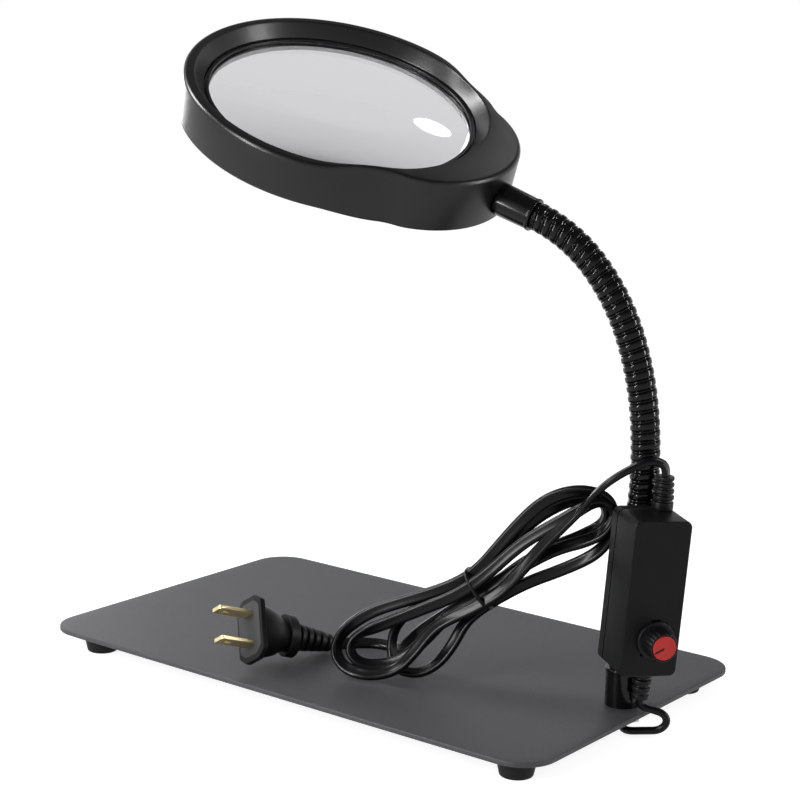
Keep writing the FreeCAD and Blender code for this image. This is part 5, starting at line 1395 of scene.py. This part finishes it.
@dataclass
class Studio:
    """Camera, lamps, floor and world."""

    plate: Frame
    camera_at: Triple = (483.4, -626.8, 269.8)
    azimuth: float = 37.39
    elevation: float = 11.18
    roll: float = 1.385
    lens: float = 88.67
    clip: Pair = (0.01, 20.0)
    world_strength: float = 0.3
    ceiling: tuple[Pair, Pair] = ((0.25, 0.62), (1.0, 0.18))
    floor_size: float = 6.0
    floor_grey: float = 0.9
    floor_glow: Pair = (0.50, 1.76)
    target: Triple = (0.0, 0.0, 0.15)
    lamps: tuple[Lamp, ...] = (
        Lamp("key_left", -106.0, 26.0, 1.35, (0.5, 0.8), 11.5, Reach.SOFT),
        Lamp("key_right", 23.6, 26.0, 1.35, (0.5, 0.8), 3.5, Reach.SOFT),
        Lamp("strip_left", -106.0, 14.0, 1.35, (0.14, 1.1), 29.0, Reach.GLOSS),
        Lamp("strip_right", 23.6, 14.0, 1.35, (0.05, 1.1), 14.0, Reach.GLOSS),
        Lamp("window_left", -158.0, 40.0, 1.3, (0.4, 0.4), 18.0, Reach.GLOSS),
        Lamp("window_back", 155.0, 3.0, 1.4, (0.5, 0.2), 3.0, Reach.GLOSS),
        Lamp("side_left", 190.0, 35.0, 0.4, (0.2, 0.2), 1.6, Reach.SOFT),
        Lamp("spot_back", 100.8, 50.0, 1.25, (0.10, 0.10), 0.20, Reach.SPOT))

    def camera(self) -> None:
        """A camera that looks down at the lamp from the front right."""
        azimuth, elevation, roll = np.radians([self.azimuth, self.elevation, self.roll])
        level = np.array([math.cos(azimuth), math.sin(azimuth), 0.0])
        flat = math.cos(elevation)
        forward = np.array([-level[1] * flat, level[0] * flat, -math.sin(elevation)])
        upright = np.cross(level, forward)
        right = math.cos(roll) * level + math.sin(roll) * upright
        up = math.cos(roll) * upright - math.sin(roll) * level
        data = bpy.data.cameras.new("studio_camera")
        data.lens, data.sensor_width = self.lens, 36.0
        data.clip_start, data.clip_end = self.clip
        camera = linked("studio_camera", data)
        matrix = Matrix(np.stack([right, up, -forward], axis=1).tolist()).to_4x4()
        matrix.translation = Vector(self.plate.place(np.array(self.camera_at)))
        camera.matrix_world = matrix
        bpy.context.scene.camera = camera

    def floor(self) -> None:
        """A pale floor that shows nearly white to the camera and still takes the lamp's shadow."""
        mesh = bpy.data.meshes.new("studio_floor")
        corners = np.array([[-1, -1, 0], [1, -1, 0], [1, 1, 0], [-1, 1, 0]]) * self.floor_size
        mesh.from_pydata(corners, [], [[0, 1, 2, 3]])
        floor = linked("studio_floor", mesh)
        material = bpy.data.materials.new("studio_floor_pale")
        wires = Wiring(material)
        wires.nodes.clear()
        share, strength = self.floor_glow
        diffuse = wires.add("BsdfDiffuse", {"Color": (*[self.floor_grey] * 3, 1)})
        glow = wires.add("Emission", {"Color": (1, 1, 1, 1), "Strength": strength})
        seen = wires.add("Math", {0: wires.seen_directly()[0], 1: share}, operation="MULTIPLY")
        mix = wires.add("MixShader", {"Fac": seen.outputs[0], 1: diffuse.outputs[0], 2: glow.outputs[0]})
        wires.add("OutputMaterial", {"Surface": mix.outputs[0]})
        mesh.materials.append(material)

    def world(self) -> None:
        """White to the camera; in glass and gloss white, dimmer above a height; a soft grey as light."""
        world = bpy.data.worlds.new("studio_world")
        wires = Wiring(world)
        seen, camera = wires.seen_directly()
        parts = wires.add("SeparateXYZ", {0: wires.add("TexCoord", {}).outputs["Generated"]})
        backdrop = wires.larger(wires.ramp(parts.outputs["Z"], *self.ceiling), camera)
        level = wires.ramp(seen, (0.0, 1.0), (self.world_strength, backdrop))
        wires.fill(wires.nodes["Background"], {"Strength": level, "Color": (1, 1, 1, 1)})
        bpy.context.scene.world = world

    def build(self) -> None:
        """Sets the stage and the colour management."""
        self.camera()
        self.floor()
        self.world()
        for lamp in self.lamps:
            lamp.build(self.target)
        bpy.context.scene.view_settings.view_transform = "Standard"


def main() -> None:
    """Builds every sub-assembly in order."""
    logging.basicConfig(level=logging.INFO, format="%(name)s: %(message)s")
    plate = plate_frame()
    neck = Gooseneck(plate)
    case = DriverCase(neck)
    Studio(plate).build()
    Base(plate).build()
    neck.build()
    case.build()
    Head(neck).build()
    Cords(plate, case, Plug(plate)).build()


if __name__ == "__main__":
    main()
